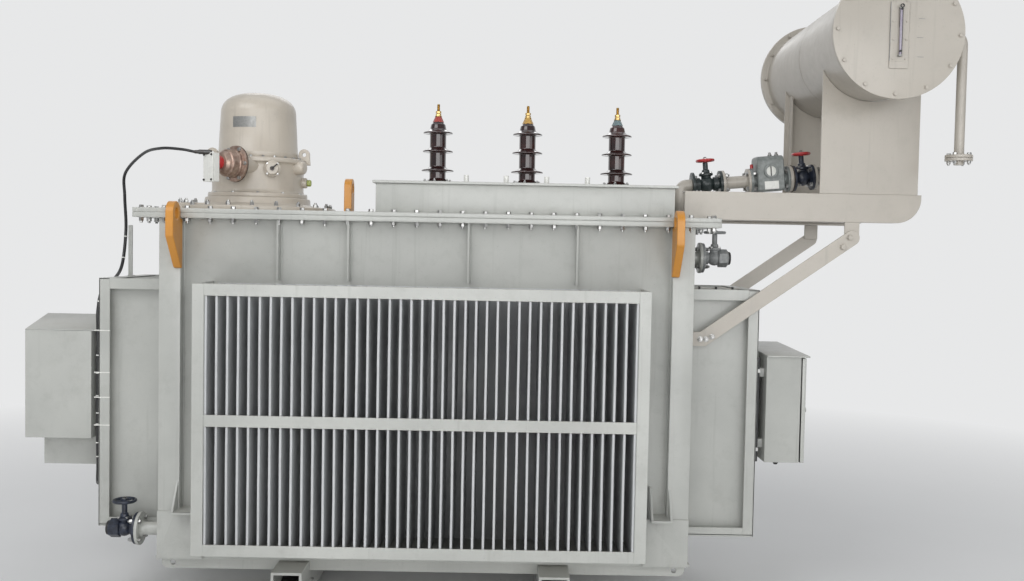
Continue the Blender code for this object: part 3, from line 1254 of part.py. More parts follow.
def drive_cabinet():
    """Closed cabinet with a roof that rises to the back and a lower gland box.

    Its brackets stand on two rails that cross the left fin bank's guard frame.
    """
    y = (CABINET_FRONT, CABINET_FRONT + CABINET_DEPTH)
    x = (CABINET_LEFT, CABINET_RIGHT)
    reach = CABINET_ROOF_REACH
    side = [(y[0], CABINET_BOTTOM), (y[1], CABINET_BOTTOM), (y[1], CABINET_TOP + CABINET_ROOF_RISE),
            (y[0], CABINET_TOP)]
    body = plate("drive_cabinet", GREY_PAINT, [side], x[1] - x[0], ((x[0] + x[1]) / 2, 0.0, 0.0),
                 FACING_SIDE)
    slope = CABINET_ROOF_RISE / CABINET_DEPTH
    roof_y = (y[0] - reach, y[1] + reach)
    roof_low = CABINET_TOP - slope * reach - 0.001
    roof = plate("cabinet_roof", None, [sloped_roof(roof_y, roof_low, slope * (roof_y[1] - roof_y[0]),
                                                    CABINET_ROOF_THICKNESS)],
                 x[1] - x[0] + reach * 2, ((x[0] + x[1]) / 2, 0.0, 0.0), FACING_SIDE, TOOLS)

    def gland_box(bm):
        add_block(bm, (x[0] + GLAND_BOX_INSET, x[1] - 0.004), (y[1] - GLAND_BOX_DEPTH, y[1] - 0.004),
                  (CABINET_BOTTOM - GLAND_BOX_HEIGHT, CABINET_BOTTOM + 0.002))

    def brackets(bm):
        for low in (CABINET_BOTTOM + BRACKET_INSET, CABINET_TOP - BRACKET_INSET - BRACKET_HEIGHT):
            add_block(bm, (x[1] - 0.002, -END_BANK_FACE - GAP - CABINET_RAIL / 2), (y[0] + 0.06, y[1] - 0.02),
                      (low, low + BRACKET_HEIGHT))

    def rails(bm):
        for low in (CABINET_BOTTOM + BRACKET_INSET, CABINET_TOP - BRACKET_INSET - BRACKET_HEIGHT):
            add_block(bm, (-END_BANK_FACE - GAP - CABINET_RAIL, -END_BANK_FACE - GAP),
                      (-END_BANK_HALF, END_BANK_HALF), (low, low + BRACKET_HEIGHT))

    join(body, roof, tool("cabinet_gland_box", gland_box), tool("cabinet_brackets", brackets),
         tool("cabinet_rails", rails))


HINGE_Y = BOX_FRONT + BOX_LENGTH_Y + HINGE_KNUCKLE_RADIUS
HINGE_X = DOOR_LEFT + DOOR_THICKNESS / 2


def hinge_levels():
    """Lower ends of the two box knuckles; each door knuckle stands on one of them."""
    return (BOX_BOTTOM + HINGE_INSET, BOX_TOP - HINGE_INSET - HINGE_KNUCKLE_HEIGHT * 2)


def marshalling_box():
    """Hollow box, open towards its door, with a lip, a roof, two hinge posts and wall brackets."""
    y = (BOX_FRONT, BOX_FRONT + BOX_LENGTH_Y)
    x = (BOX_LEFT, BOX_RIGHT)
    body = shape("marshalling_box", GREY_PAINT, lambda bm: add_block(bm, x, y, (BOX_BOTTOM, BOX_TOP)))
    w = BOX_WALL
    cut(body, tool("box_inside", lambda bm: add_block(
        bm, (x[0] + w, x[1] - w), (y[0] + w, y[1] - w), (BOX_BOTTOM + w, BOX_TOP - w))),
        tool("box_mouth", lambda bm: add_block(
            bm, (x[1] - w * 2, x[1] + w), (y[0] + BOX_LIP, y[1] - BOX_LIP),
            (BOX_BOTTOM + BOX_LIP, BOX_TOP - BOX_LIP))))
    reach = BOX_ROOF_REACH
    roof_y = (y[0] - reach * 0.5, y[1] + reach * 0.5)
    roof_x = (x[0], DOOR_LEFT + DOOR_THICKNESS + reach * 0.5)
    outline = [(roof_y[0], BOX_TOP - 0.001), (roof_y[1], BOX_TOP - 0.001),
               (roof_y[1], BOX_TOP + CABINET_ROOF_THICKNESS + BOX_ROOF_RISE),
               (roof_y[0], BOX_TOP + CABINET_ROOF_THICKNESS)]
    roof = plate("box_roof", None, [outline], roof_x[1] - roof_x[0], (sum(roof_x) / 2, 0.0, 0.0),
                 FACING_SIDE, TOOLS)

    def brackets(bm):
        for low in (BOX_BOTTOM + BRACKET_INSET, BOX_TOP - BRACKET_INSET - BRACKET_HEIGHT):
            add_block(bm, (END_BANK_FACE + GAP, x[0] + 0.002), (y[0] + 0.05, y[1] - 0.05),
                      (low, low + BRACKET_HEIGHT))

    def knuckles(bm):
        for low in hinge_levels():
            add_rod(bm, (HINGE_X, HINGE_Y, low), (HINGE_X, HINGE_Y, low + HINGE_KNUCKLE_HEIGHT),
                    HINGE_KNUCKLE_RADIUS, SMALL_SIDES)

    def arms(bm):
        for low in hinge_levels():
            add_block(bm, (x[1] - 0.03, HINGE_X), (y[1] - 0.001, y[1] + 0.004),
                      (low + 0.004, low + HINGE_KNUCKLE_HEIGHT - 0.004))

    def pins(bm):
        for low in hinge_levels():
            top = low + HINGE_KNUCKLE_HEIGHT
            add_rod(bm, (HINGE_X, HINGE_Y, top - 0.01), (HINGE_X, HINGE_Y, top + HINGE_KNUCKLE_HEIGHT * 0.7),
                    HINGE_PIN_RADIUS, SMALL_SIDES)

    join(body, roof, tool("box_brackets", brackets), tool("box_knuckles", knuckles),
         tool("box_hinge_arms", arms), tool("box_hinge_pins", pins))


def marshalling_door():
    """Pan-shaped door whose knuckles stand on the box's and are bored for its pins."""
    y = (BOX_FRONT, BOX_FRONT + BOX_LENGTH_Y - 0.004)
    x = (DOOR_LEFT, DOOR_LEFT + DOOR_THICKNESS)
    z = (BOX_BOTTOM, BOX_TOP - DOOR_CLEARANCE)
    at = (HINGE_X, HINGE_Y, 0.0)
    s = DOOR_SHEET

    def local(bm, bx, by, bz):
        add_block(bm, [v - HINGE_X for v in bx], [v - HINGE_Y for v in by], bz)

    door = shape("marshalling_door", GREY_PAINT, lambda bm: local(bm, x, y, z), at)
    cut(door, tool("door_hollow", lambda bm: local(
        bm, (x[0] - s, x[1] - s), (y[0] + s, y[1] - s), (z[0] + s, z[1] - s)), at))

    def knuckles(bm):
        for low in hinge_levels():
            start = low + HINGE_KNUCKLE_HEIGHT + GAP
            add_rod(bm, (0.0, 0.0, start), (0.0, 0.0, start + HINGE_KNUCKLE_HEIGHT), HINGE_KNUCKLE_RADIUS,
                    SMALL_SIDES)

    def arms(bm):
        for low in hinge_levels():
            start = low + HINGE_KNUCKLE_HEIGHT + GAP + 0.004
            local(bm, (HINGE_X, x[1]), (y[1] - 0.03, HINGE_Y), (start, start + HINGE_KNUCKLE_HEIGHT - 0.008))

    def bores(bm):
        for low in hinge_levels():
            start = low + HINGE_KNUCKLE_HEIGHT - 0.005
            add_rod(bm, (0.0, 0.0, start), (0.0, 0.0, start + HINGE_KNUCKLE_HEIGHT * 2),
                    HINGE_PIN_RADIUS + HINGE_PIN_CLEARANCE, SMALL_SIDES)

    def lock(bm):
        z_lock = (z[0] + z[1]) / 2
        add_rod(bm, (x[1] - HINGE_X - 0.001, y[0] + 0.03 - HINGE_Y, z_lock),
                (x[1] - HINGE_X + 0.010, y[0] + 0.03 - HINGE_Y, z_lock), 0.012, SMALL_SIDES)

    join(door, tool("door_hinge_arms", arms, at), tool("door_knuckles", knuckles, at),
         tool("door_lock", lock, at))
    cut(door, tool("door_bores", bores, at))


# Control cable

def control_cable(switch_box):
    """Conduit from the relief valve's switch box to the cabinet.

    It falls to the top of the left fin bank, crosses the bank's end face to its front edge, passes
    between the bank and the cabinet and loops up into the gland box.
    """
    run_x = -END_BANK_FACE - CABINET_RAIL - GAP - CABLE_CLEARANCE - CABLE_RADIUS
    fall_x = run_x - CABLE_RADIUS
    front_y = CABINET_FRONT + CABLE_RADIUS
    fall_top = GUARD_TOP + CABLE_FALL_RISE
    gland_x = CABINET_RIGHT - GLAND_BOX_INSET
    gland_y = CABINET_FRONT + CABINET_DEPTH - GLAND_BOX_DEPTH / 2
    gland_z = CABINET_BOTTOM - GLAND_BOX_HEIGHT - GAP
    low = gland_z - CABLE_DROP
    start = switch_box + Vector((-SWITCH_BOX_SIZE[0] / 2 - 3 * CABLE_RADIUS, -1.5 * CABLE_RADIUS,
                                 SWITCH_BOX_SIZE[2] / 2 - 3 * CABLE_RADIUS))
    points = [start, start + Vector((-0.06, 0.0, 0.010)), start + Vector((-0.17, 0.06, 0.018)),
              start + Vector((-0.30, 0.20, 0.004)), (fall_x + 0.02, CABLE_FALL_Y - 0.09, fall_top + 0.25),
              (fall_x, CABLE_FALL_Y - 0.04, fall_top + 0.14), (fall_x, CABLE_FALL_Y, fall_top - 0.02),
              (fall_x, CABLE_FALL_Y - 0.01, GUARD_TOP + 0.06), (run_x, CABLE_FALL_Y - 0.10, GUARD_TOP - 0.05),
              (run_x, front_y + 0.10, GUARD_TOP - 0.13), (run_x, front_y, GUARD_TOP - 0.26),
              (run_x, front_y, CABINET_TOP), (run_x, front_y, (CABINET_TOP + CABINET_BOTTOM) / 2),
              (run_x, front_y, CABINET_BOTTOM), (run_x, front_y + 0.01, gland_z),
              (run_x - 0.012, (front_y * 2 + gland_y) / 3, low + 0.01),
              ((run_x + gland_x * 2) / 3, (front_y + gland_y * 2) / 3, low - 0.01),
              (gland_x, gland_y, (gland_z + low) / 2), (gland_x, gland_y, gland_z - 0.012),
              (gland_x, gland_y, gland_z)]
    tube("control_cable", BLACK_PLASTIC, smooth_route(points, 2), CABLE_RADIUS, resolution=2)


def smooth_route(points, steps):
    """Points on a Catmull-Rom curve through the given points."""
    points = [Vector(p) for p in points]
    ends = [points[0] * 2 - points[1]] + points + [points[-1] * 2 - points[-2]]
    route = []
    for a, b, c, d in zip(ends, ends[1:], ends[2:], ends[3:]):
        for i in range(steps):
            t = i / steps
            route.append((b * 2 + (c - a) * t + (a * 2 - b * 5 + c * 4 - d) * t * t
                          + (b * 3 - a - c * 3 + d) * t ** 3) / 2)
    return route + [points[-1]]


# The whole transformer

def build():
    for side, x in (("left", -CARRIER_SPACING / 2), ("right", CARRIER_SPACING / 2)):
        roller_carrier(side, x)
        for end, y in (("front", -ROLLER_STEP / 2), ("back", ROLLER_STEP / 2)):
            roller(f"roller_{end}_{side}", x, y)
    base_beam("front", -1)
    base_beam("back", 1)
    tank()
    cover()
    for end, side_y in (("front", -1), ("back", 1)):
        for side, side_x in (("left", -1), ("right", 1)):
            corner_post(f"corner_post_{end}_{side}", side_x, side_y)
            lifting_lug(f"lifting_lug_{end}_{side}", side_x, side_y)
    cover_lug()
    fin_bank("fin_bank_front", LONG_BANK_FINS, LONG_BANK_DEPTH, HALF_WIDTH, math.radians(180))
    fin_bank("fin_bank_back", LONG_BANK_FINS, LONG_BANK_DEPTH, HALF_WIDTH, 0.0)
    fin_bank("fin_bank_left", END_BANK_FINS, END_BANK_DEPTH, HALF_LENGTH, math.radians(90))
    fin_bank("fin_bank_right", END_BANK_FINS, END_BANK_DEPTH, HALF_LENGTH, math.radians(-90))
    turret()
    bushings()
    changer_base()
    changer_head()
    changer_dome()
    switch_box = relief_valve()
    conservator()
    for side, face, direction in (("front", -STAND_HALF_DEPTH, 1), ("back", STAND_HALF_DEPTH, -1)):
        conservator_leg(side, face, direction)
        conservator_beam(side, face, direction)
        conservator_strut(side, face, direction)
    level_gauge()
    breather_pipe()
    oil_line()
    end_wall_valve("filter_valve", 1, 0.0, FILTER_VALVE_Z, RELAY_PAINT)
    end_wall_valve("drain_valve", -1, DRAIN_VALVE_Y, DRAIN_VALVE_Z, DARK_PAINT)
    drive_cabinet()
    marshalling_box()
    marshalling_door()
    control_cable(switch_box)


build()
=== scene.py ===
"""Finish for an oil-filled power transformer: surfaces, fasteners, paint, light and camera.

Metres, +Z up, the viewer's side is -Y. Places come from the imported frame, so that each finished
piece sits where its solid does. Run as a script; the add-on form only orders the making.
"""

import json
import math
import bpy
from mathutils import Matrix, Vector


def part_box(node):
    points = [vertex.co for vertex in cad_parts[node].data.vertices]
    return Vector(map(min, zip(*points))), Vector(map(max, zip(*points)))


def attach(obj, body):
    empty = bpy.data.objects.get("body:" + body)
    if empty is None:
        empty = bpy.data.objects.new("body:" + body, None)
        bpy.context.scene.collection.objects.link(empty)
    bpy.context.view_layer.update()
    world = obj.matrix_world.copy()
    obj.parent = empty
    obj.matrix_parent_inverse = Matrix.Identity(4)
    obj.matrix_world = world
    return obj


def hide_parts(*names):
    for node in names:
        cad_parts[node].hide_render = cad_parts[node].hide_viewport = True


bl_info = {
    "name": "Power transformer finish",
    "version": (1, 0, 0),
    "blender": (4, 5, 0),
    "location": "3D View > Sidebar > Transformer",
    "description": "Finishes the pieces of a finned oil transformer",
    "category": "Object",
}

import bmesh
import bpy
import numpy as np
from mathutils import Matrix, Vector
from mathutils.geometry import tessellate_polygon

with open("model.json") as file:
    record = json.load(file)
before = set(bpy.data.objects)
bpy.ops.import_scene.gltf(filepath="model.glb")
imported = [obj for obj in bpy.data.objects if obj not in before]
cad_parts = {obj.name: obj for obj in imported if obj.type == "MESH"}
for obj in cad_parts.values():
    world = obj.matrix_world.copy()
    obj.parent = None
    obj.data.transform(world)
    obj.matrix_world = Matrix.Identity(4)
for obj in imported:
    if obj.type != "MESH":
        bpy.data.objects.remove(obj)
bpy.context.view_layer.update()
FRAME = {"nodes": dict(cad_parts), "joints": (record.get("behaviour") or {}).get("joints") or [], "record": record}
BOX = {name: tuple(np.array(corner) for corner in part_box(name)) for name in FRAME["nodes"]}
SLOT_OF = {part["node"]: part["material_slot"] for part in FRAME["record"]["subparts"]}
MIDDLE_X = (BOX["tank"][0][0] + BOX["tank"][1][0]) / 2
X, Y, Z = np.eye(3)


# Skins: a skin is an array of corners and an array of faces, -1 filling the fourth place of a triangle

def skin(points, around=True, along=False):
    """Four-sided faces over grids of points; each row, and each column, may close on itself."""
    index = np.arange(np.prod(points.shape[:-1])).reshape(points.shape[:-1])
    if around:
        index = np.concatenate([index, index[..., :1]], axis=-1)
    if along:
        index = np.concatenate([index, index[..., :1, :]], axis=-2)
    faces = np.stack([index[..., :-1, :-1], index[..., :-1, 1:], index[..., 1:, 1:], index[..., 1:, :-1]],
                     axis=-1)
    return points.reshape(-1, 3), faces.reshape(-1, 4)


def gathered(*parts):
    """Several skins as one: each keeps its faces, with the count of corners before it added."""
    starts = np.cumsum([0] + [len(corners) for corners, _ in parts[:-1]])
    faces = [np.where(f < 0, -1, f + start) for (_, f), start in zip(parts, starts)]
    return np.concatenate([corners for corners, _ in parts]), np.concatenate(faces)


def frame_at(at=(0, 0, 0), across=X, up=Y):
    """Matrix that lays local x along one direction, local y along another and z square to both."""
    place = np.eye(4)
    place[:3, 0], place[:3, 1], place[:3, 2], place[:3, 3] = across, up, np.cross(across, up), at
    return place


def axle_at(at, direction, across=None):
    """Matrix whose local z runs along a direction."""
    direction = np.asarray(direction, float) / np.linalg.norm(direction)
    if across is None:
        across = np.cross(Y if abs(direction[1]) < 0.9 else Z, direction)
    across = across / np.linalg.norm(across)
    return frame_at(at, across, np.cross(direction, across))


def facing_front(at=(0, 0, 0)):
    return frame_at(at, X, Z)


def facing_side(at=(0, 0, 0)):
    return frame_at(at, Y, Z)


def moved(part, place):
    """Each corner is the place's turn times the corner, plus the place's origin."""
    return part[0] @ place[:3, :3].T + place[:3, 3], part[1]


def placed(part, places):
    """The same skin at every place in a list."""
    places = np.asarray(places)
    corners = np.einsum("kij,nj->kni", places[:, :3, :3], part[0]) + places[:, None, :3, 3]
    step = np.arange(len(places))[:, None, None] * len(part[0])
    return corners.reshape(-1, 3), np.where(part[1] < 0, -1, part[1] + step).reshape(-1, 4)


def eased(points, radius, steps=3, closed=False):
    """Corners of a line rounded: each becomes (1-t)^2 a + 2t(1-t) c + t^2 b, with a and b a radius away."""
    points = np.asarray(points, float)
    before, after = np.roll(points, 1, axis=0) - points, np.roll(points, -1, axis=0) - points
    share = [np.minimum(radius, np.linalg.norm(d, axis=1) * 0.45)[:, None] * d
             / np.maximum(np.linalg.norm(d, axis=1), 1e-9)[:, None] for d in (before, after)]
    t = np.linspace(0, 1, steps + 1)[None, :, None]
    a, b, c = (points + share[0])[:, None], (points + share[1])[:, None], points[:, None]
    curve = (1 - t) ** 2 * a + 2 * t * (1 - t) * c + t ** 2 * b
    if closed:
        return curve.reshape(-1, points.shape[1])
    return np.concatenate([points[:1], curve[1:-1].reshape(-1, points.shape[1]), points[-1:]])


def arc(centre, radius, start, end, steps):
    """Centre plus the radius times the cosine and sine of evenly spaced angles, in degrees."""
    angle = np.radians(np.linspace(start, end, steps + 1))
    return np.stack([centre[0] + radius * np.cos(angle), centre[1] + radius * np.sin(angle)], axis=1)


def turned(profile, sides=48, place=None, ring=False):
    """A profile of (radius, height) turned about z: x = r cos a, y = r sin a, z = h."""
    profile = np.asarray(profile, float)
    angle = np.arange(sides) * (math.tau / sides)
    radius, height = profile[:, :1], profile[:, 1:] + 0 * angle
    part = skin(np.stack([radius * np.cos(angle), radius * np.sin(angle), height], axis=-1), True, ring)
    return part if place is None else moved(part, place)


def lathed(profile, ease, sides=48, place=None, steps=3, ring=False):
    """A turned profile with its corners rounded; a ring's profile closes on itself."""
    return turned(eased(profile, ease, steps, ring), sides, place, ring)


def blocks(lows, highs, ease=0.0015):
    """Boxes with chamfered edges: an eight-sided section carried up, drawn in by the easing at both ends."""
    low, high = np.atleast_2d(lows).astype(float), np.atleast_2d(highs).astype(float)
    low, high = np.minimum(low, high), np.maximum(low, high)
    middle, half = (low + high) / 2, (high - low) / 2
    e = np.minimum(ease, half.min(axis=1) * 0.4)[:, None, None]
    hx, hy, hz = (half[:, i, None, None] for i in range(3))
    full_x, full_y = np.array([1, 1, 1, -1, -1, -1, -1, 1]), np.array([-1, 1, 1, 1, 1, -1, -1, -1])
    ease_x, ease_y = np.array([0, 0, 1, 1, 0, 0, 1, 1]), np.array([1, 1, 0, 0, 1, 1, 0, 0])
    inset = np.array([1, 1, 0, 0, 1, 1])[:, None] * e
    spread = np.array([0, 1, 1, 1, 1, 0])[:, None]
    x = (full_x * (hx - inset - e * ease_x)) * spread
    y = (full_y * (hy - inset - e * ease_y)) * spread
    z = np.array([-1, -1, -1, 1, 1, 1])[:, None] * (hz - (1 - np.array([1, 1, 0, 0, 1, 1])[:, None])
                                                    * e) + 0 * x
    return skin(np.stack([x, y, z], axis=-1) + middle[:, None, None, :])


def cut_plate(outlines, thickness, ease=0.0012, place=None):
    """A plate with holes: outlines carried through the thickness, drawn in by the easing at both faces."""
    parts, rims = [], []
    for index, outline in enumerate(outlines):
        p = np.asarray(outline, float)
        ahead = np.roll(p, -1, axis=0) - p
        area = np.sum(p[:, 0] * np.roll(p[:, 1], -1) - p[:, 1] * np.roll(p[:, 0], -1))
        ahead /= np.maximum(np.linalg.norm(ahead, axis=1, keepdims=True), 1e-9)
        normal = (ahead + np.roll(ahead, 1, axis=0))[:, ::-1] * (1, -1)
        normal /= np.maximum(np.linalg.norm(normal, axis=1, keepdims=True), 1e-9)
        square = np.maximum(np.sum(normal * ahead[:, ::-1] * (1, -1), axis=1, keepdims=True), 0.5)
        inwards = p - normal / square * ease * np.sign(area) * (1 if index == 0 else -1)
        rows = [np.c_[q, np.full(len(q), z)] for q, z in (
            (inwards, thickness / 2), (p, thickness / 2 - ease), (p, ease - thickness / 2),
            (inwards, -thickness / 2))]
        parts.append(skin(np.stack(rows)))
        rims.append(inwards)
    corners, faces = gathered(*parts)
    near = np.concatenate([np.arange(len(r)) + 4 * sum(len(q) for q in rims[:i]) for i, r in enumerate(rims)])
    far = np.concatenate([np.arange(len(r)) + 3 * len(r) + 4 * sum(len(q) for q in rims[:i])
                          for i, r in enumerate(rims)])
    fill = np.array(tessellate_polygon([[Vector((x, y, 0)) for x, y in r] for r in rims]))
    blank = np.full((len(fill), 1), -1)
    part = corners, np.concatenate([faces, np.c_[near[fill], blank], np.c_[far[fill], blank]])
    return part if place is None else moved(part, place)


def tube(path, radius, sides=16, lean=(0.31, 0.52, 0.79), caps=True):
    """A circle carried along a path: point + r (cos a side + sin a over), side square to the path."""
    path = np.asarray(path, float)
    radius = np.broadcast_to(np.asarray(radius, float), (len(path),))
    ahead = np.gradient(path, axis=0)
    ahead /= np.linalg.norm(ahead, axis=1, keepdims=True)
    side = np.cross(ahead, lean)
    side /= np.linalg.norm(side, axis=1, keepdims=True)
    over = np.cross(ahead, side)
    if caps:
        path, side, over = (np.concatenate([a[:1], a, a[-1:]]) for a in (path, side, over))
        radius = np.concatenate([[0.0], radius, [0.0]])
    angle = np.arange(sides) * (math.tau / sides)
    r = radius[:, None, None]
    points = path[:, None] + r * (np.cos(angle)[None, :, None] * side[:, None]
                                  + np.sin(angle)[None, :, None] * over[:, None])
    return skin(points)


def flowing(points, steps=8):
    """A smooth line through points: half of 2b + (c-a)t + (2a-5b+4c-d)t^2 + (3b-a-3c+d)t^3."""
    p = np.asarray(points, float)
    p = np.concatenate([2 * p[:1] - p[1:2], p, 2 * p[-1:] - p[-2:-1]])
    a, b, c, d = (p[i:len(p) - 3 + i, None] for i in range(4))
    t = (np.arange(steps) / steps)[None, :, None]
    line = (2 * b + (c - a) * t + (2 * a - 5 * b + 4 * c - d) * t ** 2 + (3 * b - a - 3 * c + d) * t ** 3) / 2
    return np.concatenate([line.reshape(-1, 3), p[-2:-1]])


def bead(start, end, radius=0.0035, pitch=0.007):
    """A weld bead: a half-buried tube whose radius swells by a fifth with each pitch."""
    start, end = np.asarray(start, float), np.asarray(end, float)
    length = np.linalg.norm(end - start)
    along = np.linspace(0, 1, max(8, int(length / pitch * 2.5)))
    swell = radius * (1 + 0.22 * np.abs(np.sin(along * length / pitch * math.pi)))
    swell[[0, -1]] = radius * 0.5
    return tube(start + (end - start) * along[:, None], swell, 7)


# Fasteners, drawn for a width of one across the flats
HEX_HEAD = gathered(turned([(0, .62), (.50, .62), (.577, .54), (.577, .10), (0, .10)], 6),
                    turned([(0, .10), (.64, .10), (.67, .07), (.67, 0), (0, 0)], 12))
NUT_AND_STUD = gathered(turned([(0, 1.25), (.28, 1.25), (.33, 1.18), (.33, .7), (0, .7)], 8),
                        turned([(0, .86), (.50, .86), (.577, .76), (.577, .10), (0, .10)], 6),
                        turned([(0, .10), (.64, .10), (.67, .07), (.67, 0), (0, 0)], 12))


def fasteners(kind, size, points, direction, seed=3):
    """Copies of a fastener at points, each turned about its own axis by a seeded amount."""
    points = np.atleast_2d(points)
    directions = np.broadcast_to(np.asarray(direction, float), points.shape)
    spin = np.random.default_rng(seed).uniform(0, math.tau, len(points))
    places = []
    for point, out, turn in zip(points, directions, spin):
        place = axle_at(point, out)
        twist = np.eye(4)
        twist[:2, :2] = [[math.cos(turn), -math.sin(turn)], [math.sin(turn), math.cos(turn)]]
        twist[:3, :3] *= size
        places.append(place @ twist)
    return placed(kind, places)


def bolt_circle(place, radius, count, start=0.0, height=0.0):
    """Points on a circle in a place's own xy plane."""
    angle = np.radians(start) + np.arange(count) * math.tau / count
    local = np.stack([radius * np.cos(angle), radius * np.sin(angle), np.full(count, height)], axis=1)
    return local @ place[:3, :3].T + place[:3, 3]


# Finishes

class Nodes:
    """Adds nodes to a tree and wires them: a tuple or number sets a socket, a node output links to it."""

    def __init__(self, tree):
        self.tree = tree

    def add(self, kind, inputs=(), **settings):
        made = self.tree.nodes.new("ShaderNode" + kind)
        for name, value in settings.items():
            setattr(made, name, value)
        for name, value in dict(inputs).items():
            if isinstance(value, bpy.types.NodeSocket):
                self.tree.links.new(value, made.inputs[name])
            else:
                made.inputs[name].default_value = value
        return made

    def noise(self, where, scale, detail=4.0, roughness=0.55):
        return self.add("TexNoise", {"Vector": where, "Scale": scale, "Detail": detail,
                                     "Roughness": roughness}).outputs[0]

    def span(self, value, low, high, to_low=0.0, to_high=1.0):
        return self.add("MapRange", {"Value": value, "From Min": low, "From Max": high, "To Min": to_low,
                                     "To Max": to_high}).outputs[0]

    def sum(self, operation, a, b=0.5):
        return self.add("Math", {0: a, 1: b}, operation=operation).outputs[0]

    def blend(self, share, a, b, mode="MIX"):
        made = self.add("Mix", {0: share, 6: a, 7: b}, data_type="RGBA", blend_type=mode)
        return made.outputs[2]


def group(name, inputs, build, outputs=("Colour", "Roughness", "Height")):
    """A shader node group, built once: a tuple makes a colour socket, a number a plain one."""
    if name in bpy.data.node_groups:
        return bpy.data.node_groups[name]
    tree = bpy.data.node_groups.new(name, "ShaderNodeTree")
    for socket, value in inputs.items():
        kind = "NodeSocketColor" if isinstance(value, tuple) else "NodeSocketFloat"
        tree.interface.new_socket(name=socket, in_out="INPUT", socket_type=kind).default_value = value
    for socket in outputs:
        kind = "NodeSocketColor" if socket == "Colour" else "NodeSocketFloat"
        tree.interface.new_socket(name=socket, in_out="OUTPUT", socket_type=kind)
    entry, leave = tree.nodes.new("NodeGroupInput"), tree.nodes.new("NodeGroupOutput")
    for socket, value in build(Nodes(tree), entry.outputs).items():
        tree.links.new(value, leave.inputs[socket])
    return tree


def paint_film():
    """Sprayed paint: soft cloudy tone, thin runs down the surface, dirt specks and orange peel; where the cloudy
    tone is strong, as on the tank, it is also a painted reflection of patchy surroundings.
    """
    def build(n, given):
        where = n.add("TexCoord").outputs["Object"]
        # Soft patches of lighter and darker tone: random paint tone, and where the amount is raised, as on the
        # tank, a painted reflection
        cloud_and_sheen = n.span(n.noise(where, 2.3, 5.0), 0.3, 0.7, -1.0, 1.0)
        tall = n.add("Mapping", {"Vector": where, "Scale": (34.0, 34.0, 1.6)}).outputs[0]
        run = n.sum("MULTIPLY", n.span(n.noise(tall, 1.0, 3.0), 0.60, 0.74), given["Runs"])
        grime = n.sum("MULTIPLY", n.span(n.noise(where, 9.0, 8.0, 0.7), 0.52, 0.78), given["Grime"])
        speck = n.sum("MULTIPLY", n.span(n.noise(where, 210.0, 2.0), 0.70, 0.74), given["Specks"])
        tone = n.sum("MULTIPLY_ADD", cloud_and_sheen, given["Clouds"])
        n.tree.nodes[-1].inputs[2].default_value = 1.0
        grey = n.add("CombineColor", {0: tone, 1: tone, 2: tone}).outputs[0]
        colour = n.blend(1.0, given["Colour"], grey, "MULTIPLY")
        colour = n.blend(n.sum("MAXIMUM", run, grime), colour, given["Dirt"])
        colour = n.blend(speck, colour, given["Dirt"])
        rough = n.sum("ADD", given["Base Roughness"], n.sum("MULTIPLY",
                                                            n.span(n.noise(where, 24.0), 0.3, 0.7), 0.12))
        rough = n.sum("ADD", rough, n.sum("MULTIPLY", grime, 0.25))
        peel = n.sum("ADD", n.noise(where, 420.0, 2.0), n.sum("MULTIPLY", n.noise(where, 38.0, 3.0), 1.6))
        return {"Colour": colour, "Roughness": rough, "Height": peel}
    return group("paint_film", {"Colour": (0.5, 0.5, 0.5, 1), "Dirt": (0.12, 0.11, 0.09, 1), "Clouds": 0.05,
                                "Runs": 0.2, "Grime": 0.25, "Specks": 0.5, "Base Roughness": 0.4}, build)


def settled_dust():
    """Pale dust on faces that look up, broken up by noise."""
    def build(n, given):
        where = n.add("TexCoord").outputs["Object"]
        up = n.add("SeparateXYZ", {0: n.add("NewGeometry").outputs["Normal"]}).outputs[2]
        lie = n.span(up, 0.55, 0.95)
        patch = n.span(n.noise(where, 6.0, 6.0, 0.65), 0.35, 0.7, 0.35, 1.0)
        mask = n.sum("MULTIPLY", n.sum("MULTIPLY", lie, patch), given["Amount"])
        colour = n.blend(mask, given["Colour"], given["Dust"])
        rough = n.sum("ADD", given["Roughness"], n.sum("MULTIPLY", mask, 0.35))
        return {"Colour": colour, "Roughness": rough}
    return group("settled_dust", {"Colour": (0.5, 0.5, 0.5, 1), "Roughness": 0.4,
                                  "Dust": (0.50, 0.47, 0.41, 1),
                                  "Amount": 0.4}, build, ("Colour", "Roughness"))


def cast_skin():
    """Sand-cast surface: coarse grain over shallow dents, darker where it dips."""
    def build(n, given):
        where = n.add("TexCoord").outputs["Object"]
        grain = n.noise(where, 330.0, 5.0, 0.6)
        dent = n.noise(where, 55.0, 3.0)
        height = n.sum("ADD", n.sum("MULTIPLY", grain, given["Grain"]), dent)
        colour = n.blend(n.span(dent, 0.35, 0.7), given["Low"], given["High"])
        rough = n.span(grain, 0.3, 0.7, 0.0, 0.18)
        return {"Colour": colour, "Roughness": n.sum("ADD", rough, given["Base Roughness"]), "Height": height}
    return group("cast_skin", {"Low": (0.1, 0.1, 0.1, 1), "High": (0.2, 0.2, 0.2, 1), "Grain": 0.5,
                               "Base Roughness": 0.4}, build)


def worn_metal():
    """Plated or turned metal: fine rings, dull stains and brighter rubbed patches."""
    def build(n, given):
        where = n.add("TexCoord").outputs["Object"]
        rings = n.add("TexWave", {"Vector": where, "Scale": 90.0, "Distortion": 0.6, "Detail": 2.0},
                      bands_direction="Z").outputs[1]
        stain = n.span(n.noise(where, 60.0, 6.0, 0.65), 0.42, 0.72)
        colour = n.blend(n.sum("MULTIPLY", stain, given["Stains"]), given["Colour"], given["Stain Colour"])
        rough = n.sum("ADD", n.sum("MULTIPLY", stain, 0.25), given["Base Roughness"])
        return {"Colour": colour, "Roughness": rough, "Height": rings}
    return group("worn_metal", {"Colour": (0.6, 0.6, 0.6, 1), "Stain Colour": (0.2, 0.15, 0.1, 1),
                                "Stains": 0.5, "Base Roughness": 0.25}, build)


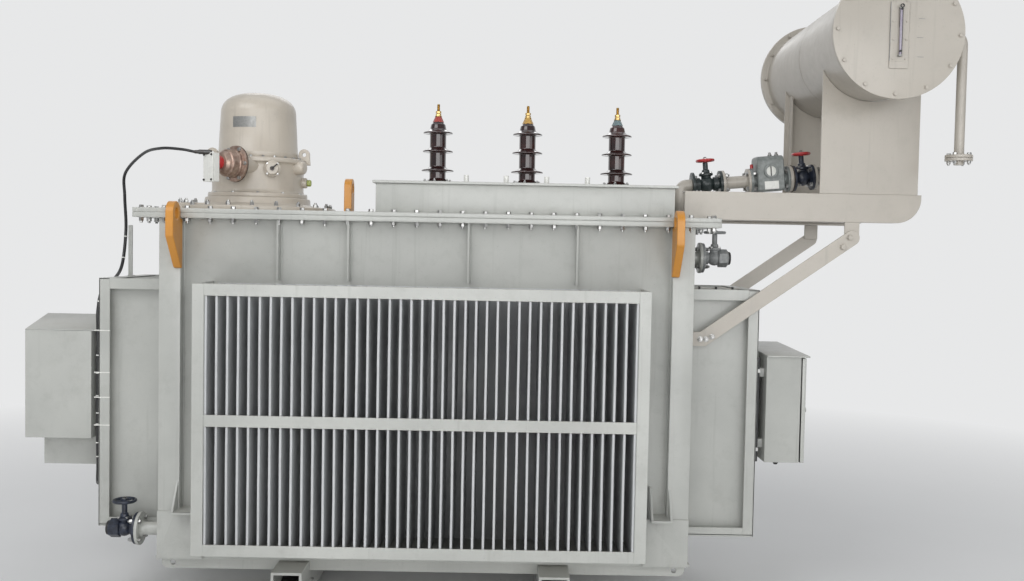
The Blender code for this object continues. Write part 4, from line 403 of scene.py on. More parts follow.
def glaze():
    """Fired glaze: a darker tone that pools in slow bands, and faint pinholes."""
    def build(n, given):
        where = n.add("TexCoord").outputs["Object"]
        pool = n.span(n.noise(n.add("Mapping", {"Vector": where, "Scale": (9.0, 9.0, 22.0)}).outputs[0], 1.0,
                              3.0),
                      0.35, 0.65)
        colour = n.blend(pool, given["Thin"], given["Thick"])
        rough = n.span(n.noise(where, 120.0, 4.0), 0.4, 0.75, 0.05, 0.16)
        return {"Colour": colour, "Roughness": rough, "Height": n.noise(where, 75.0, 2.0)}
    return group("glaze", {"Thin": (0.1, 0.04, 0.03, 1), "Thick": (0.03, 0.01, 0.01, 1)}, build)


def surface(name, tree, values, relief, own, dust=None):
    """A material of one node group, dusted where asked; its relief passes through one bump node.

    The values go to the group's sockets, and own holds those of the shader itself.
    """
    material = bpy.data.materials.new(name)
    material.use_nodes = True
    n = Nodes(material.node_tree)
    shader = material.node_tree.nodes["Principled BSDF"]
    values = {socket: (*value, 1) if isinstance(value, tuple) else value for socket, value in values.items()}
    film = top = n.add("Group", values, node_tree=tree)
    if dust is not None:
        top = n.add("Group", {"Amount": dust, "Colour": film.outputs["Colour"],
                              "Roughness": film.outputs["Roughness"]}, node_tree=settled_dust())
    bump = n.add("Bump", {"Height": film.outputs["Height"], "Strength": relief, "Distance": 0.002})
    for output, socket in ((top.outputs["Colour"], "Base Color"), (top.outputs["Roughness"], "Roughness"),
                           (bump.outputs[0], "Normal")):
        n.tree.links.new(output, shader.inputs[socket])
    for socket, value in own.items():
        shader.inputs[socket].default_value = value
    return material


def paint(name, colour, roughness=0.38, clouds_and_sheen=0.05, runs=0.15, grime=0.2, specks=0.4, dust=0.35, peel=0.05,
          coat=0.25, dirt=(0.13, 0.12, 0.10)):
    """Painted metal: paint film, then dust on top, with a thin clear coat."""
    film = {"Colour": colour, "Dirt": dirt, "Clouds": clouds_and_sheen, "Runs": runs, "Grime": grime, "Specks": specks,
            "Base Roughness": roughness}
    return surface(name, paint_film(), film, peel, {"Coat Weight": coat, "Coat Roughness": 0.18}, dust)


def metal(name, colour, stain, stains=0.4, roughness=0.25, metallic=1.0, relief=0.03):
    """Bare or plated metal with stains."""
    return surface(name, worn_metal(), {"Colour": colour, "Stain Colour": stain, "Stains": stains,
                                        "Base Roughness": roughness}, relief, {"Metallic": metallic})


def casting(name, low, high, roughness=0.35, grain=0.5, relief=0.25, metallic=0.0, coat=0.2):
    """Cast or moulded surface, darker where it dips."""
    return surface(name, cast_skin(), {"Low": low, "High": high, "Grain": grain, "Base Roughness": roughness},
                   relief, {"Metallic": metallic, "Coat Weight": coat})


def porcelain(name, thin, thick):
    """Glazed porcelain under a sharp clear coat."""
    return surface(name, glaze(), {"Thin": thin, "Thick": thick}, 0.05,
                   {"Coat Weight": 0.8, "Coat Roughness": 0.04})


FINISHES = {}


def finish(name):
    """The finish of a material slot, or of one of the small parts."""
    look = bpy.context.scene.transformer_paint
    if not FINISHES:
        grey, warm = tuple(look.tank), tuple(look.conservator)
        FINISHES.update({
            # The tank's stronger cloudy tone is partly random paint tone and partly a painted reflection of patchy
            # surroundings on its glossy panels
            "light_grey_paint": paint("tank_grey", grey, roughness=0.32, clouds_and_sheen=0.10, coat=0.4),
            # The fins' grey is lighter and bluer than the tank's: a painted reflection of the bright floor in the
            # long banks' fins and gaps; the end banks keep the tank grey
            "fin_grey": paint("fin_grey", tuple(look.fins), clouds_and_sheen=0.07, grime=0.16, runs=0.28, dust=0.3),
            "warm_grey_paint": paint("conservator_cream", warm, roughness=0.33, grime=0.16, coat=0.35),
            "dome_cream": paint("dome_cream", tuple(look.dome), roughness=0.30, grime=0.14, coat=0.3),
            "orange_paint": paint("lug_orange", tuple(look.lugs), grime=0.22, dust=0.12,
                                  dirt=(0.16, 0.06, 0.02)),
            "brown_porcelain": porcelain("brown_glaze", tuple(look.bushings), (0.015, 0.006, 0.006)),
            "brass": metal("turned_brass", (0.62, 0.44, 0.18), (0.22, 0.13, 0.06)),
            "dark_blue_paint": casting("valve_blue_black", (0.010, 0.013, 0.022), (0.028, 0.036, 0.060)),
            "valve_grey": casting("valve_grey", (0.22, 0.23, 0.23), (0.33, 0.34, 0.34), relief=0.12),
            "valve_green_black": casting("valve_green_black", (0.012, 0.018, 0.018), (0.030, 0.042, 0.042)),
            "red_paint": paint("wheel_red", tuple(look.wheels), roughness=0.3, grime=0.12,
                               dirt=(0.10, 0.01, 0.01)),
            "relay_grey_paint": casting("relay_grey", (0.15, 0.165, 0.16), (0.24, 0.26, 0.25), relief=0.12),
            "cast_metal": casting("relief_bronze", (0.30, 0.20, 0.16), (0.50, 0.38, 0.31), roughness=0.28,
                                  relief=0.10, metallic=0.75, coat=0.0),
            "dark_steel": metal("roller_steel", (0.11, 0.11, 0.11), (0.06, 0.03, 0.02), 0.6, 0.38),
            "gauge_white": paint("gauge_enamel", (0.72, 0.72, 0.68), roughness=0.22, grime=0.10, coat=0.6),
            "black_conduit": casting("black_sheath", (0.010, 0.010, 0.011), (0.022, 0.022, 0.023), 0.42, 0.3,
                                     0.08),
            "zinc": metal("zinc_plate", (0.46, 0.46, 0.45), (0.20, 0.19, 0.18), 0.45, 0.28),
            "white_nylon": casting("tie_nylon", (0.66, 0.66, 0.62), (0.78, 0.78, 0.74), 0.35, 0.3, 0.05),
            "cap_red": paint("cap_red", (0.35, 0.05, 0.04), roughness=0.3),
            "cap_golden": paint("cap_golden", (0.50, 0.30, 0.08), roughness=0.3),
            "cap_blue_green": paint("cap_blue_green", (0.15, 0.21, 0.22), roughness=0.3),
            "fitting_grey": metal("fitting_grey", (0.30, 0.30, 0.29), (0.12, 0.12, 0.11), 0.4, 0.3, 0.6),
            "pale_lead": casting("pale_lead", (0.50, 0.48, 0.44), (0.62, 0.60, 0.56), 0.4, 0.3, 0.05),
            "sight_glass": casting("tinted_glass", (0.26, 0.23, 0.29), (0.33, 0.30, 0.37), 0.08, 0.2, 0.01,
                                   coat=1.0),
            "black_mark": casting("printed_black", (0.012, 0.012, 0.012), (0.02, 0.02, 0.02), 0.5, 0.3, 0.02),
            "gasket": casting("cork_gasket", (0.045, 0.035, 0.028), (0.08, 0.06, 0.045), 0.75, 0.9, 0.3,
                              coat=0.0),
            "gland_green": paint("gland_yellow_green", (0.36, 0.42, 0.10), roughness=0.35),
        })
    return FINISHES[name]


# Making an object of a skin

def made(name, part, look, slot=None, replaces=(), body="transformer", sharp=32.0):
    """Equal corners merged, faces turned outwards, edges over an angle kept sharp; then it rides its body.

    The slot is not used.
    """
    corners, faces = part
    used = faces >= 0
    loops, counts = faces[used].astype(np.int32), used.sum(axis=1)
    mesh = bpy.data.meshes.new(name)
    mesh.vertices.add(len(corners))
    mesh.vertices.foreach_set("co", corners.astype(np.float32).ravel())
    mesh.loops.add(len(loops))
    mesh.loops.foreach_set("vertex_index", loops)
    mesh.polygons.add(len(faces))
    mesh.polygons.foreach_set("loop_start", np.concatenate([[0], np.cumsum(counts)[:-1]]).astype(np.int32))
    mesh.update(calc_edges=True)
    bm = bmesh.new()
    bm.from_mesh(mesh)
    bmesh.ops.remove_doubles(bm, verts=bm.verts, dist=0.000002)
    bmesh.ops.dissolve_degenerate(bm, edges=bm.edges, dist=0.000001)
    bmesh.ops.recalc_face_normals(bm, faces=bm.faces)
    bm.to_mesh(mesh)
    bm.free()
    return shown(name, mesh, look, replaces, body, sharp)


def shown(name, mesh, look, replaces=(), body="transformer", sharp=32.0):
    mesh.shade_smooth()
    mesh.set_sharp_from_angle(angle=math.radians(sharp))
    mesh.materials.clear()
    mesh.materials.append(finish(look))
    thing = bpy.data.objects.new(name, mesh)
    bpy.context.scene.collection.objects.link(thing)
    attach(thing, body)
    if replaces:
        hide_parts(*replaces)
    return thing


def eased_copy(node, look=None, width=0.0015, body="transformer", least=(-9, -9, -9)):
    """A copy of a CAD piece: corners merged, flat triangles joined, edges over 30 degrees chamfered.

    Each corner is first brought up to the least x, y and z, which trims what stands beyond them.
    """
    mesh = FRAME["nodes"][node].data.copy()
    mesh.name = node + "_eased"
    corners = np.empty(len(mesh.vertices) * 3, np.float32)
    mesh.vertices.foreach_get("co", corners)
    mesh.vertices.foreach_set("co", np.maximum(corners.reshape(-1, 3), np.float32(least)).ravel())
    bm = bmesh.new()
    bm.from_mesh(mesh)
    bmesh.ops.remove_doubles(bm, verts=bm.verts, dist=0.00001)
    bmesh.ops.dissolve_degenerate(bm, edges=bm.edges, dist=0.000001)
    bmesh.ops.dissolve_limit(bm, angle_limit=math.radians(1), verts=bm.verts, edges=bm.edges)
    edges = [e for e in bm.edges if len(e.link_faces) == 2 and e.calc_face_angle() > math.radians(30)]
    bmesh.ops.bevel(bm, geom=edges, offset=width, segments=2, profile=0.5, affect="EDGES",
                    clamp_overlap=False)
    bm.to_mesh(mesh)
    bm.free()
    return shown(node + "_eased", mesh, look or SLOT_OF[node], (node,), body)


# Settings that a user would change

def colour_setting(name, description, default):
    return bpy.props.FloatVectorProperty(name=name, description=description, default=default, size=3,
                                         min=0.0, max=1.0, subtype="COLOR")


def length_setting(name, description, default):
    return bpy.props.FloatProperty(name=name, description=description, default=default, unit="LENGTH")


class TransformerPaint(bpy.types.PropertyGroup):
    """Colours of the paints and the glaze"""
    tank: colour_setting("Tank", "Paint of the tank, its cover and the base", (0.445, 0.452, 0.425))
    # Lighter and bluer than the tank grey; the difference is a painted reflection of the bright floor
    fins: colour_setting("Fins", "Paint of the cooling fins", (0.500, 0.510, 0.515))
    conservator: colour_setting("Conservator", "Paint of the conservator and its stand",
                                (0.425, 0.392, 0.342))
    dome: colour_setting("Dome", "Paint of the tap changer", (0.520, 0.470, 0.400))
    lugs: colour_setting("Lugs", "Paint of the lifting lugs", (0.560, 0.240, 0.030))
    wheels: colour_setting("Wheels", "Paint of the oil line's handwheels", (0.430, 0.020, 0.022))
    bushings: colour_setting("Bushings", "Glaze of the bushings where it is thin", (0.045, 0.016, 0.015))


class TransformerSizes(bpy.types.PropertyGroup):
    """Sizes of the fasteners, fins and bars"""
    bolt_pitch: length_setting("Cover bolt pitch", "Distance between the cover's bolts", 0.1024)
    cover_bolt: length_setting("Cover bolt", "Width of the cover's bolts across the flats", 0.0195)
    flange_bolt: length_setting("Flange bolt", "Width of the pipe flanges' bolts across the flats", 0.018)
    small_bolt: length_setting("Small bolt", "Width of small bolts across the flats", 0.013)
    fin_pitch: length_setting("Fin pitch", "Distance between the cooling fins", 0.04515)
    fin_thickness: length_setting("Fin thickness", "Thickness of a cooling fin", 0.0105)
    fin_wave: length_setting("Fin waviness", "How far a fin's sheet strays from flat", 0.0004)
    bar_width: length_setting("Bar width", "Width of the bars of the fin guards", 0.050)
    bar_steel: length_setting("Bar steel", "Thickness of the bars of the fin guards", 0.006)
    bead: length_setting("Weld bead", "Radius of a weld bead", 0.0038)


class TransformerStage(bpy.types.PropertyGroup):
    """Camera, lights and floor"""
    camera_place: bpy.props.FloatVectorProperty(name="Camera place", description="Where the camera stands",
                                                size=3,
                                                default=(0.10375, -5.05, 1.65), subtype="TRANSLATION")
    yaw: bpy.props.FloatProperty(name="Yaw", description="Turn of the camera to the right", subtype="ANGLE",
                                 default=math.radians(0.38))
    pitch: bpy.props.FloatProperty(name="Pitch", description="Tilt of the camera downwards", subtype="ANGLE",
                                   default=math.radians(2.35))
    roll: bpy.props.FloatProperty(name="Roll", description="Lean of the camera to the left", subtype="ANGLE",
                                  default=math.radians(1.1))
    lens: bpy.props.FloatProperty(name="Lens", description="Focal length in mm for a 36 mm wide frame",
                                  default=36.28)
    floor: colour_setting("Floor", "Colour of the floor", (0.80, 0.80, 0.795))


# The operators: the stage, then one for each piece or group of like pieces

class TRANSFORMER_OT_stage(bpy.types.Operator):
    """Pale floor, soft lights and the camera at the photograph's angle"""
    bl_idname = "transformer.stage"
    bl_label = "Stage"

    def execute(self, context):
        scene, look = context.scene, context.scene.transformer_stage
        scene.view_settings.view_transform = "Standard"
        bend = arc((8.0, 5.0), 5.0, -90, 0, 24)
        line = np.concatenate([[(-16.0, 0.0)], bend, [(13.0, 16.0)]])
        corners, faces = skin(np.stack([np.c_[np.full(len(line), x), line] for x in (-30.0, 30.0)], axis=1),
                              False)
        mesh = bpy.data.meshes.new("floor")
        mesh.from_pydata(corners - Z * 0.0005, [], faces.tolist())
        mesh.shade_smooth()
        material = bpy.data.materials.new("floor")
        material.use_nodes = True
        n = Nodes(material.node_tree)
        shader = material.node_tree.nodes["Principled BSDF"]
        shader.inputs["Roughness"].default_value = 0.7
        where = n.add("TexCoord").outputs["Object"]
        tone = n.blend(n.span(n.noise(where, 0.6, 3.0), 0.3, 0.7), (*look.floor, 1),
                       (*[c * 1.04 for c in look.floor], 1))
        material.node_tree.links.new(tone, shader.inputs["Base Color"])
        pale = n.add("Emission", {"Color": (0.80, 0.805, 0.81, 1)})
        away = n.span(n.add("VectorMath", {0: where}, operation="LENGTH").outputs["Value"], 2.2, 7.0)
        path = n.add("LightPath")
        rays = n.sum("ADD", path.outputs["Is Camera Ray"], path.outputs["Is Glossy Ray"])
        seen = n.add("MixShader", {0: n.sum("MULTIPLY", away,
                                            n.sum("ADD", rays, path.outputs["Is Transmission Ray"]))})
        material.node_tree.links.new(shader.outputs[0], seen.inputs[1])
        material.node_tree.links.new(pale.outputs[0], seen.inputs[2])
        material.node_tree.links.new(seen.outputs[0], material.node_tree.nodes["Material Output"].inputs[0])
        mesh.materials.append(material)
        floor = bpy.data.objects.new("floor", mesh)
        scene.collection.objects.link(floor)

        world = bpy.data.worlds.new("studio")
        scene.world = world
        world.use_nodes = True
        n = Nodes(world.node_tree)
        soft = world.node_tree.nodes["Background"]
        soft.inputs["Color"].default_value = (0.93, 0.96, 1.0, 1)
        soft.inputs["Strength"].default_value = 0.36
        pale = n.add("Background", {"Color": (0.80, 0.805, 0.81, 1), "Strength": 1.0})
        path = n.add("LightPath")
        seen = n.add("MixShader", {0: path.outputs["Is Camera Ray"]})
        world.node_tree.links.new(soft.outputs[0], seen.inputs[1])
        world.node_tree.links.new(pale.outputs[0], seen.inputs[2])
        world.node_tree.links.new(seen.outputs[0], world.node_tree.nodes["World Output"].inputs[0])

        for name, at, aim, size, power in (
                ("key", (-3.2, -4.6, 5.2), (0.0, 0.0, 1.1), (4.5, 3.0), 130.0),
                ("front", (0.6, -7.5, 2.2), (0.0, 0.0, 0.7), (7.0, 3.5), 235.0),
                ("fill", (4.6, -4.2, 3.4), (0.4, 0.0, 1.0), (3.5, 3.0), 45.0),
                ("overhead", (0.2, 0.4, 6.0), (0.2, 0.4, 0.0), (6.0, 3.0), 35.0),
                ("back", (-1.0, 6.5, 6.8), (0.0, 0.0, 1.2), (5.0, 3.0), 75.0)):
            lamp = bpy.data.lights.new(name, "AREA")
            lamp.shape, lamp.size, lamp.size_y, lamp.energy = "RECTANGLE", *size, power
            held = bpy.data.objects.new(name, lamp)
            scene.collection.objects.link(held)
            held.location = at
            held.rotation_euler = (Vector(aim) - Vector(at)).to_track_quat("-Z", "Y").to_euler()

        ahead = np.array([math.cos(look.pitch) * math.sin(look.yaw), math.cos(look.pitch)
                          * math.cos(look.yaw),
                          -math.sin(look.pitch)])
        right = np.cross(ahead, Z)
        right /= np.linalg.norm(right)
        over = np.cross(right, ahead)
        place = np.eye(4)
        place[:3, 0] = right * math.cos(look.roll) + over * math.sin(look.roll)
        place[:3, 1] = over * math.cos(look.roll) - right * math.sin(look.roll)
        place[:3, 2], place[:3, 3] = -ahead, look.camera_place
        camera = bpy.data.cameras.new("camera")
        camera.sensor_width, camera.lens = 36.0, look.lens
        held = bpy.data.objects.new("camera", camera)
        scene.collection.objects.link(held)
        held.matrix_world = Matrix(place.tolist())
        scene.camera = held
        return {"FINISHED"}


class TRANSFORMER_OT_base(bpy.types.Operator):
    """Rollers with recessed faces, their carriers and the base beams"""
    bl_idname = "transformer.base"
    bl_label = "Base and rollers"

    def execute(self, context):
        wide, axle = 0.055, 0.018
        for node in [n for n in BOX if n.startswith("roller_front") or n.startswith("roller_back")]:
            low, high = BOX[node]
            tread, end = (high[2] - low[2]) / 2, (high[0] - low[0]) / 2
            half = [(axle, wide), (0.032, wide), (0.036, wide - 0.004), (0.040, wide - 0.014),
                    (0.055, wide - 0.014),
                    (0.060, wide - 0.003), (0.063, wide), (tread - 0.005, wide),
                    (tread - 0.0015, wide - 0.0015),
                    (tread, wide - 0.006)]
            profile = ([(0, end), (axle - 0.002, end), (axle, end - 0.002)] + half
                       + [(r, -h) for r, h in reversed(half)]
                       + [(axle, 0.002 - end), (axle - 0.002, -end), (0, -end)])
            made(node + "_turned", turned(profile, 56, axle_at((low + high) / 2, X)), "dark_steel",
                 replaces=(node,))
        keepers = []
        for side in ("left", "right"):
            eased_copy(f"roller_carrier_{side}")
            low, high = BOX[f"roller_carrier_{side}"]
            for y in (-0.42, 0.42):
                for x, out in ((low[0], -1), (high[0], 1)):
                    keepers.append(fasteners(HEX_HEAD, 0.016, [(x, y - 0.036, 0.118), (x, y + 0.036, 0.118)],
                                             (out, 0, 0), seed=int(abs(x * 100))))
        for side in ("front", "back"):
            eased_copy(f"base_beam_{side}")
        made("carrier_bolts", gathered(*keepers), "zinc", "dark_steel")
        return {"FINISHED"}


class TRANSFORMER_OT_tank(bpy.types.Operator):
    """Tank, cover, corner posts and turret with eased edges and weld beads"""
    bl_idname = "transformer.tank"
    bl_label = "Tank and cover"

    def execute(self, context):
        size = context.scene.transformer_sizes
        for node in ("tank", "cover", "turret", "corner_post_front_left", "corner_post_front_right",
                     "corner_post_back_left", "corner_post_back_right"):
            eased_copy(node)
        inset = np.array((.030, .030, 0))
        made("turret_lid_plate", blocks(BOX["turret_lid"][0] + inset, BOX["turret_lid"][1] - inset, .0016),
             "light_grey_paint", replaces=("turret_lid",))
        left, right = BOX["corner_post_front_left"][0][0], BOX["corner_post_front_right"][1][0]
        low, under = BOX["corner_post_front_left"][0][2], BOX["corner_post_front_left"][1][2]
        beads = []
        for side in (-1, 1):
            y = side * 0.45
            beads += [bead((left + 0.20, y, low), (right - 0.20, y, low), size.bead),
                      bead((left + 0.10, y, under), (right - 0.10, y, under), size.bead)]
            for x in (left + 0.0955, right - 0.0955):
                beads.append(bead((x, y, low + 0.25), (x, y, under), size.bead))
            for place in (-0.66, -0.35, 0.18, 0.66):
                for edge in (-0.007, 0.007):
                    x = MIDDLE_X + place + edge
                    beads.append(bead((x, y, 1.492), (x, y, under), size.bead * 0.8))
        for x in (left, right):
            beads += [bead((x, -0.45, low), (x, 0.45, low), size.bead),
                      bead((x, -0.45, under), (x, 0.45, under), size.bead)]
        lid_low, lid_high = BOX["turret"]
        seam = lid_low[2] + 0.0005
        beads += [bead((lid_low[0], y, seam), (lid_high[0], y, seam), size.bead)
                  for y in (lid_low[1], lid_high[1])]
        beads += [bead((x, lid_low[1], seam), (x, lid_high[1], seam), size.bead)
                  for x in (lid_low[0], lid_high[0])]
        made("tank_welds", gathered(*beads), "light_grey_paint", sharp=60.0)
        return {"FINISHED"}


class TRANSFORMER_OT_lugs(bpy.types.Operator):
    """Lifting lugs with round eyes, on the posts and on the cover"""
    bl_idname = "transformer.lugs"
    bl_label = "Lifting lugs"

    def execute(self, context):
        rim_y, rim_top = BOX["tank"][1][1], BOX["tank"][1][2]
        for end, side_y in (("front", -1), ("back", 1)):
            for side in ("left", "right"):
                node = f"lifting_lug_{end}_{side}"
                low, high = BOX[node]
                seat, face = sorted((abs(low[1]), abs(high[1])))
                clear, notch = rim_y + 0.004, rim_top - 0.026
                radius, middle = (face - clear) / 2, (face + clear) / 2
                outline = np.concatenate([[(seat, low[2]), (seat + 0.014, low[2]),
                                           (seat + 0.020, low[2] + 0.003),
                                           (seat + 0.024, low[2] + 0.008), (face - 0.004, low[2] + 0.134),
                                           (face - 0.001, low[2] + 0.139), (face, low[2] + 0.146)],
                                          arc((middle, high[2] - radius), radius, 0, 180, 32),
                                          [(clear, notch + 0.004), (clear - 0.001, notch + 0.001),
                                           (clear - 0.004, notch), (seat, notch)]])
                eye = arc((middle, high[2] - 0.052), 0.025, 0, 348.75, 31)
                place = frame_at(((low[0] + high[0]) / 2, 0, 0), Y * side_y, Z)
                plate = cut_plate([outline, eye], high[0] - low[0], 0.0022, place)
                made(node + "_plate", plate, "orange_paint", replaces=(node,))
        low, high = BOX["cover_lug"]
        half, middle = (high[1] - low[1]) / 2, (high[1] + low[1]) / 2
        outline = np.concatenate([[(middle - half, low[2]), (middle + half, low[2])],
                                  arc((middle, high[2] - half), half, 0, 180, 32)])
        eye = arc((middle, high[2] - half), 0.022, 0, 348.75, 31)
        plate = cut_plate([outline, eye], high[0] - low[0], 0.0022,
                          facing_side(((low[0] + high[0]) / 2, 0, 0)))
        made("cover_lug_plate", plate, "orange_paint", replaces=("cover_lug",))
        return {"FINISHED"}


def bank_place(node):
    """Local x runs along a fin bank, local y out from the wall, z up; also its depth and half width."""
    low, high = BOX[node]
    middle = (low + high) / 2
    if node.endswith("front"):
        return frame_at((middle[0], high[1], 0), -X, -Y), high[1] - low[1], (high[0] - low[0]) / 2
    if node.endswith("back"):
        return frame_at((middle[0], low[1], 0), X, Y), high[1] - low[1], (high[0] - low[0]) / 2
    if node.endswith("left"):
        return frame_at((high[0], middle[1], 0), Y, -X), high[0] - low[0], (high[1] - low[1]) / 2
    return frame_at((low[0], middle[1], 0), -Y, X), high[0] - low[0], (high[1] - low[1]) / 2


def fin_blades(count, depth, low, high, size, seed):
    """Folded fins: half thickness times a pinch that closes both ends, plus a slow wave that grows outwards.

    Across = place + side * half * pinch(z) + wave(fin, z) * out / depth; the nose is
    x = cos^.5, y = sin^.6.
    """
    rng = np.random.default_rng(seed)
    turn = np.radians(np.linspace(180, 0, 9))
    nose = np.stack([np.sign(np.cos(turn)) * np.abs(np.cos(turn)) ** .5, np.sin(turn) ** .6], axis=1)
    half = size.fin_thickness / 2
    flank = np.linspace(0.0, 1.0, 5)[:-1] * (depth - half)
    side = np.concatenate([-np.ones(4), nose[:, 0], np.ones(4)])
    out = np.concatenate([flank, depth - half + nose[:, 1] * half, flank[::-1]]) + 0.002
    rise = np.concatenate([[0, 0.0005, 0.004, 0.010, 0.018, 0.028], np.linspace(0.06, high - low - 0.06, 14)])
    rise = np.concatenate([rise, high - low - rise[5::-1]])
    near = np.minimum(rise, high - low - rise)
    pinch = np.where(near <= 0, 0.0, 0.26 + 0.74 * np.clip(near / 0.028, 0, 1) ** 1.4)
    phase = rng.uniform(0, math.tau, (2, 3, count, 1))
    length = np.array([1.0, 2.3, 5.1])[:, None, None]
    wave = (np.sin(length * rise[None, None] * math.tau / (high - low) + phase) / length ** 0.6).sum(axis=1)
    wave *= size.fin_wave * np.clip(near / 0.05, 0.3, 1)
    places = (np.arange(count) - (count - 1) / 2) * size.fin_pitch
    x = (places[:, None, None] + side * half * pinch[None, :, None] + wave[0][:, :, None] * out / depth)
    y = out + wave[1][:, :, None] * 0.5 * out / depth
    z = np.broadcast_to(low + rise[None, :, None], x.shape)
    return skin(np.stack([x, np.broadcast_to(y, x.shape), z], axis=-1))


class TRANSFORMER_OT_fins(bpy.types.Operator):
    """Cooling walls: folded fins with pinched ends, their back sheet and the angle frame round them"""
    bl_idname = "transformer.fins"
    bl_label = "Cooling fins"

    def execute(self, context):
        size = context.scene.transformer_sizes
        wide, steel = size.bar_width, size.bar_steel
        for seed, (node, count) in enumerate((("fin_bank_front", 41), ("fin_bank_back", 41),
                                              ("fin_bank_left", 12),
                                              ("fin_bank_right", 12))):
            place, depth, half = bank_place(node)
            bottom, top = BOX[node][0][2], BOX[node][1][2]
            flank = half - wide
            middle = (bottom + top - wide) / 2
            blades = fin_blades(count, depth - steel - 0.0015, bottom + 0.0125, top - steel - 0.001, size,
                                seed)
            sheet = blocks((-half + 0.028, 0.0003, bottom + 0.012),
                           (half - 0.028, 0.005, top - steel - 0.0004), 0.0006)
            # The long banks take the lighter, bluer fin grey, a painted reflection of the floor; the end banks
            # take the tank grey
            made(node + "_fins", moved(gathered(blades, sheet), place),
                 "fin_grey" if count > 12 else "light_grey_paint",
                 "light_grey_paint", (node,),
                 sharp=50.0)
            lows = [(-half, depth - steel, bottom), (flank, depth - steel, bottom),
                    (-flank, depth - steel, bottom), (-flank, depth - steel, top - wide),
                    (-flank, depth - steel, middle),
                    (-half, 0.0003, bottom + 0.0057), (-half, depth - wide, top - steel),
                    (-half, depth - wide, bottom), (half - steel, depth - wide, bottom),
                    (-half, 0.0003, top - wide), (half - steel, 0.0003, top - wide),
                    (-half, 0.0003, bottom), (half - steel, 0.0003, bottom)]
            highs = [(-flank, depth, top), (half, depth, top),
                     (flank, depth - 0.0004, bottom + wide), (flank, depth - 0.0004, top),
                     (flank, depth - 0.0004, middle + wide),
                     (half, depth - 0.001, bottom + 0.0117), (half, depth - 0.001, top - 0.0005),
                     (steel - half, depth - 0.0004, top), (half, depth - 0.0004, top),
                     (steel - half, depth - wide, top), (half, depth - wide, top),
                     (steel - half, depth - wide, bottom + wide - .008),
                     (half, depth - wide, bottom + wide - .008)]
            beads = [bead((x, depth + 0.0001, middle), (x, depth + 0.0001, middle + wide), size.bead * 0.5)
                     for x in (-flank, flank)]
            made(node + "_guard", moved(gathered(blocks(lows, highs, 0.0012), *beads), place),
                 "light_grey_paint")
        return {"FINISHED"}


class TRANSFORMER_OT_cover_bolts(bpy.types.Operator):
    """Bolts round the rim with nuts below, and the lid's white studs"""
    bl_idname = "transformer.cover_bolts"
    bl_label = "Cover bolts"

    def execute(self, context):
        size = context.scene.transformer_sizes
        low, high = BOX["cover"][0], BOX["cover"][1]
        under = BOX["tank"][1][2] - 0.022
        inset = 0.030
        count = int(round((high[0] - low[0] - 2 * inset) / size.bolt_pitch))
        xs = np.linspace(low[0] + inset, high[0] - inset, count + 1)
        across = int(round((high[1] - low[1] - 2 * inset) / size.bolt_pitch))
        ys = np.linspace(low[1] + inset, high[1] - inset, across + 1)[1:-1]
        rows = ([(x, y) for x in xs for y in (low[1] + inset, high[1] - inset)]
                + [(low[0] + inset, y) for y in ys]
                + [(high[0] - inset, y) for y in ys if not 0.23 < abs(y) < 0.35])
        places = np.array(rows)
        above = np.c_[places, np.full(len(places), high[2])]
        below = np.c_[places, np.full(len(places), under)]
        made("cover_bolts", gathered(fasteners(HEX_HEAD, size.cover_bolt, above, Z, 5),
                                     fasteners(NUT_AND_STUD, size.cover_bolt, below, -Z, 6)), "zinc",
             "dark_steel")
        low, high = BOX["turret_lid"]
        stud = lathed([(0, 0), (.0115, 0), (.0115, .033), (0, .033)], .0015, 24)
        points = [frame_at((x, low[1] + .095, high[2])) for x in (-.080, .099, .281, .464)]
        made("lid_studs", placed(stud, points), "gauge_white")
        return {"FINISHED"}


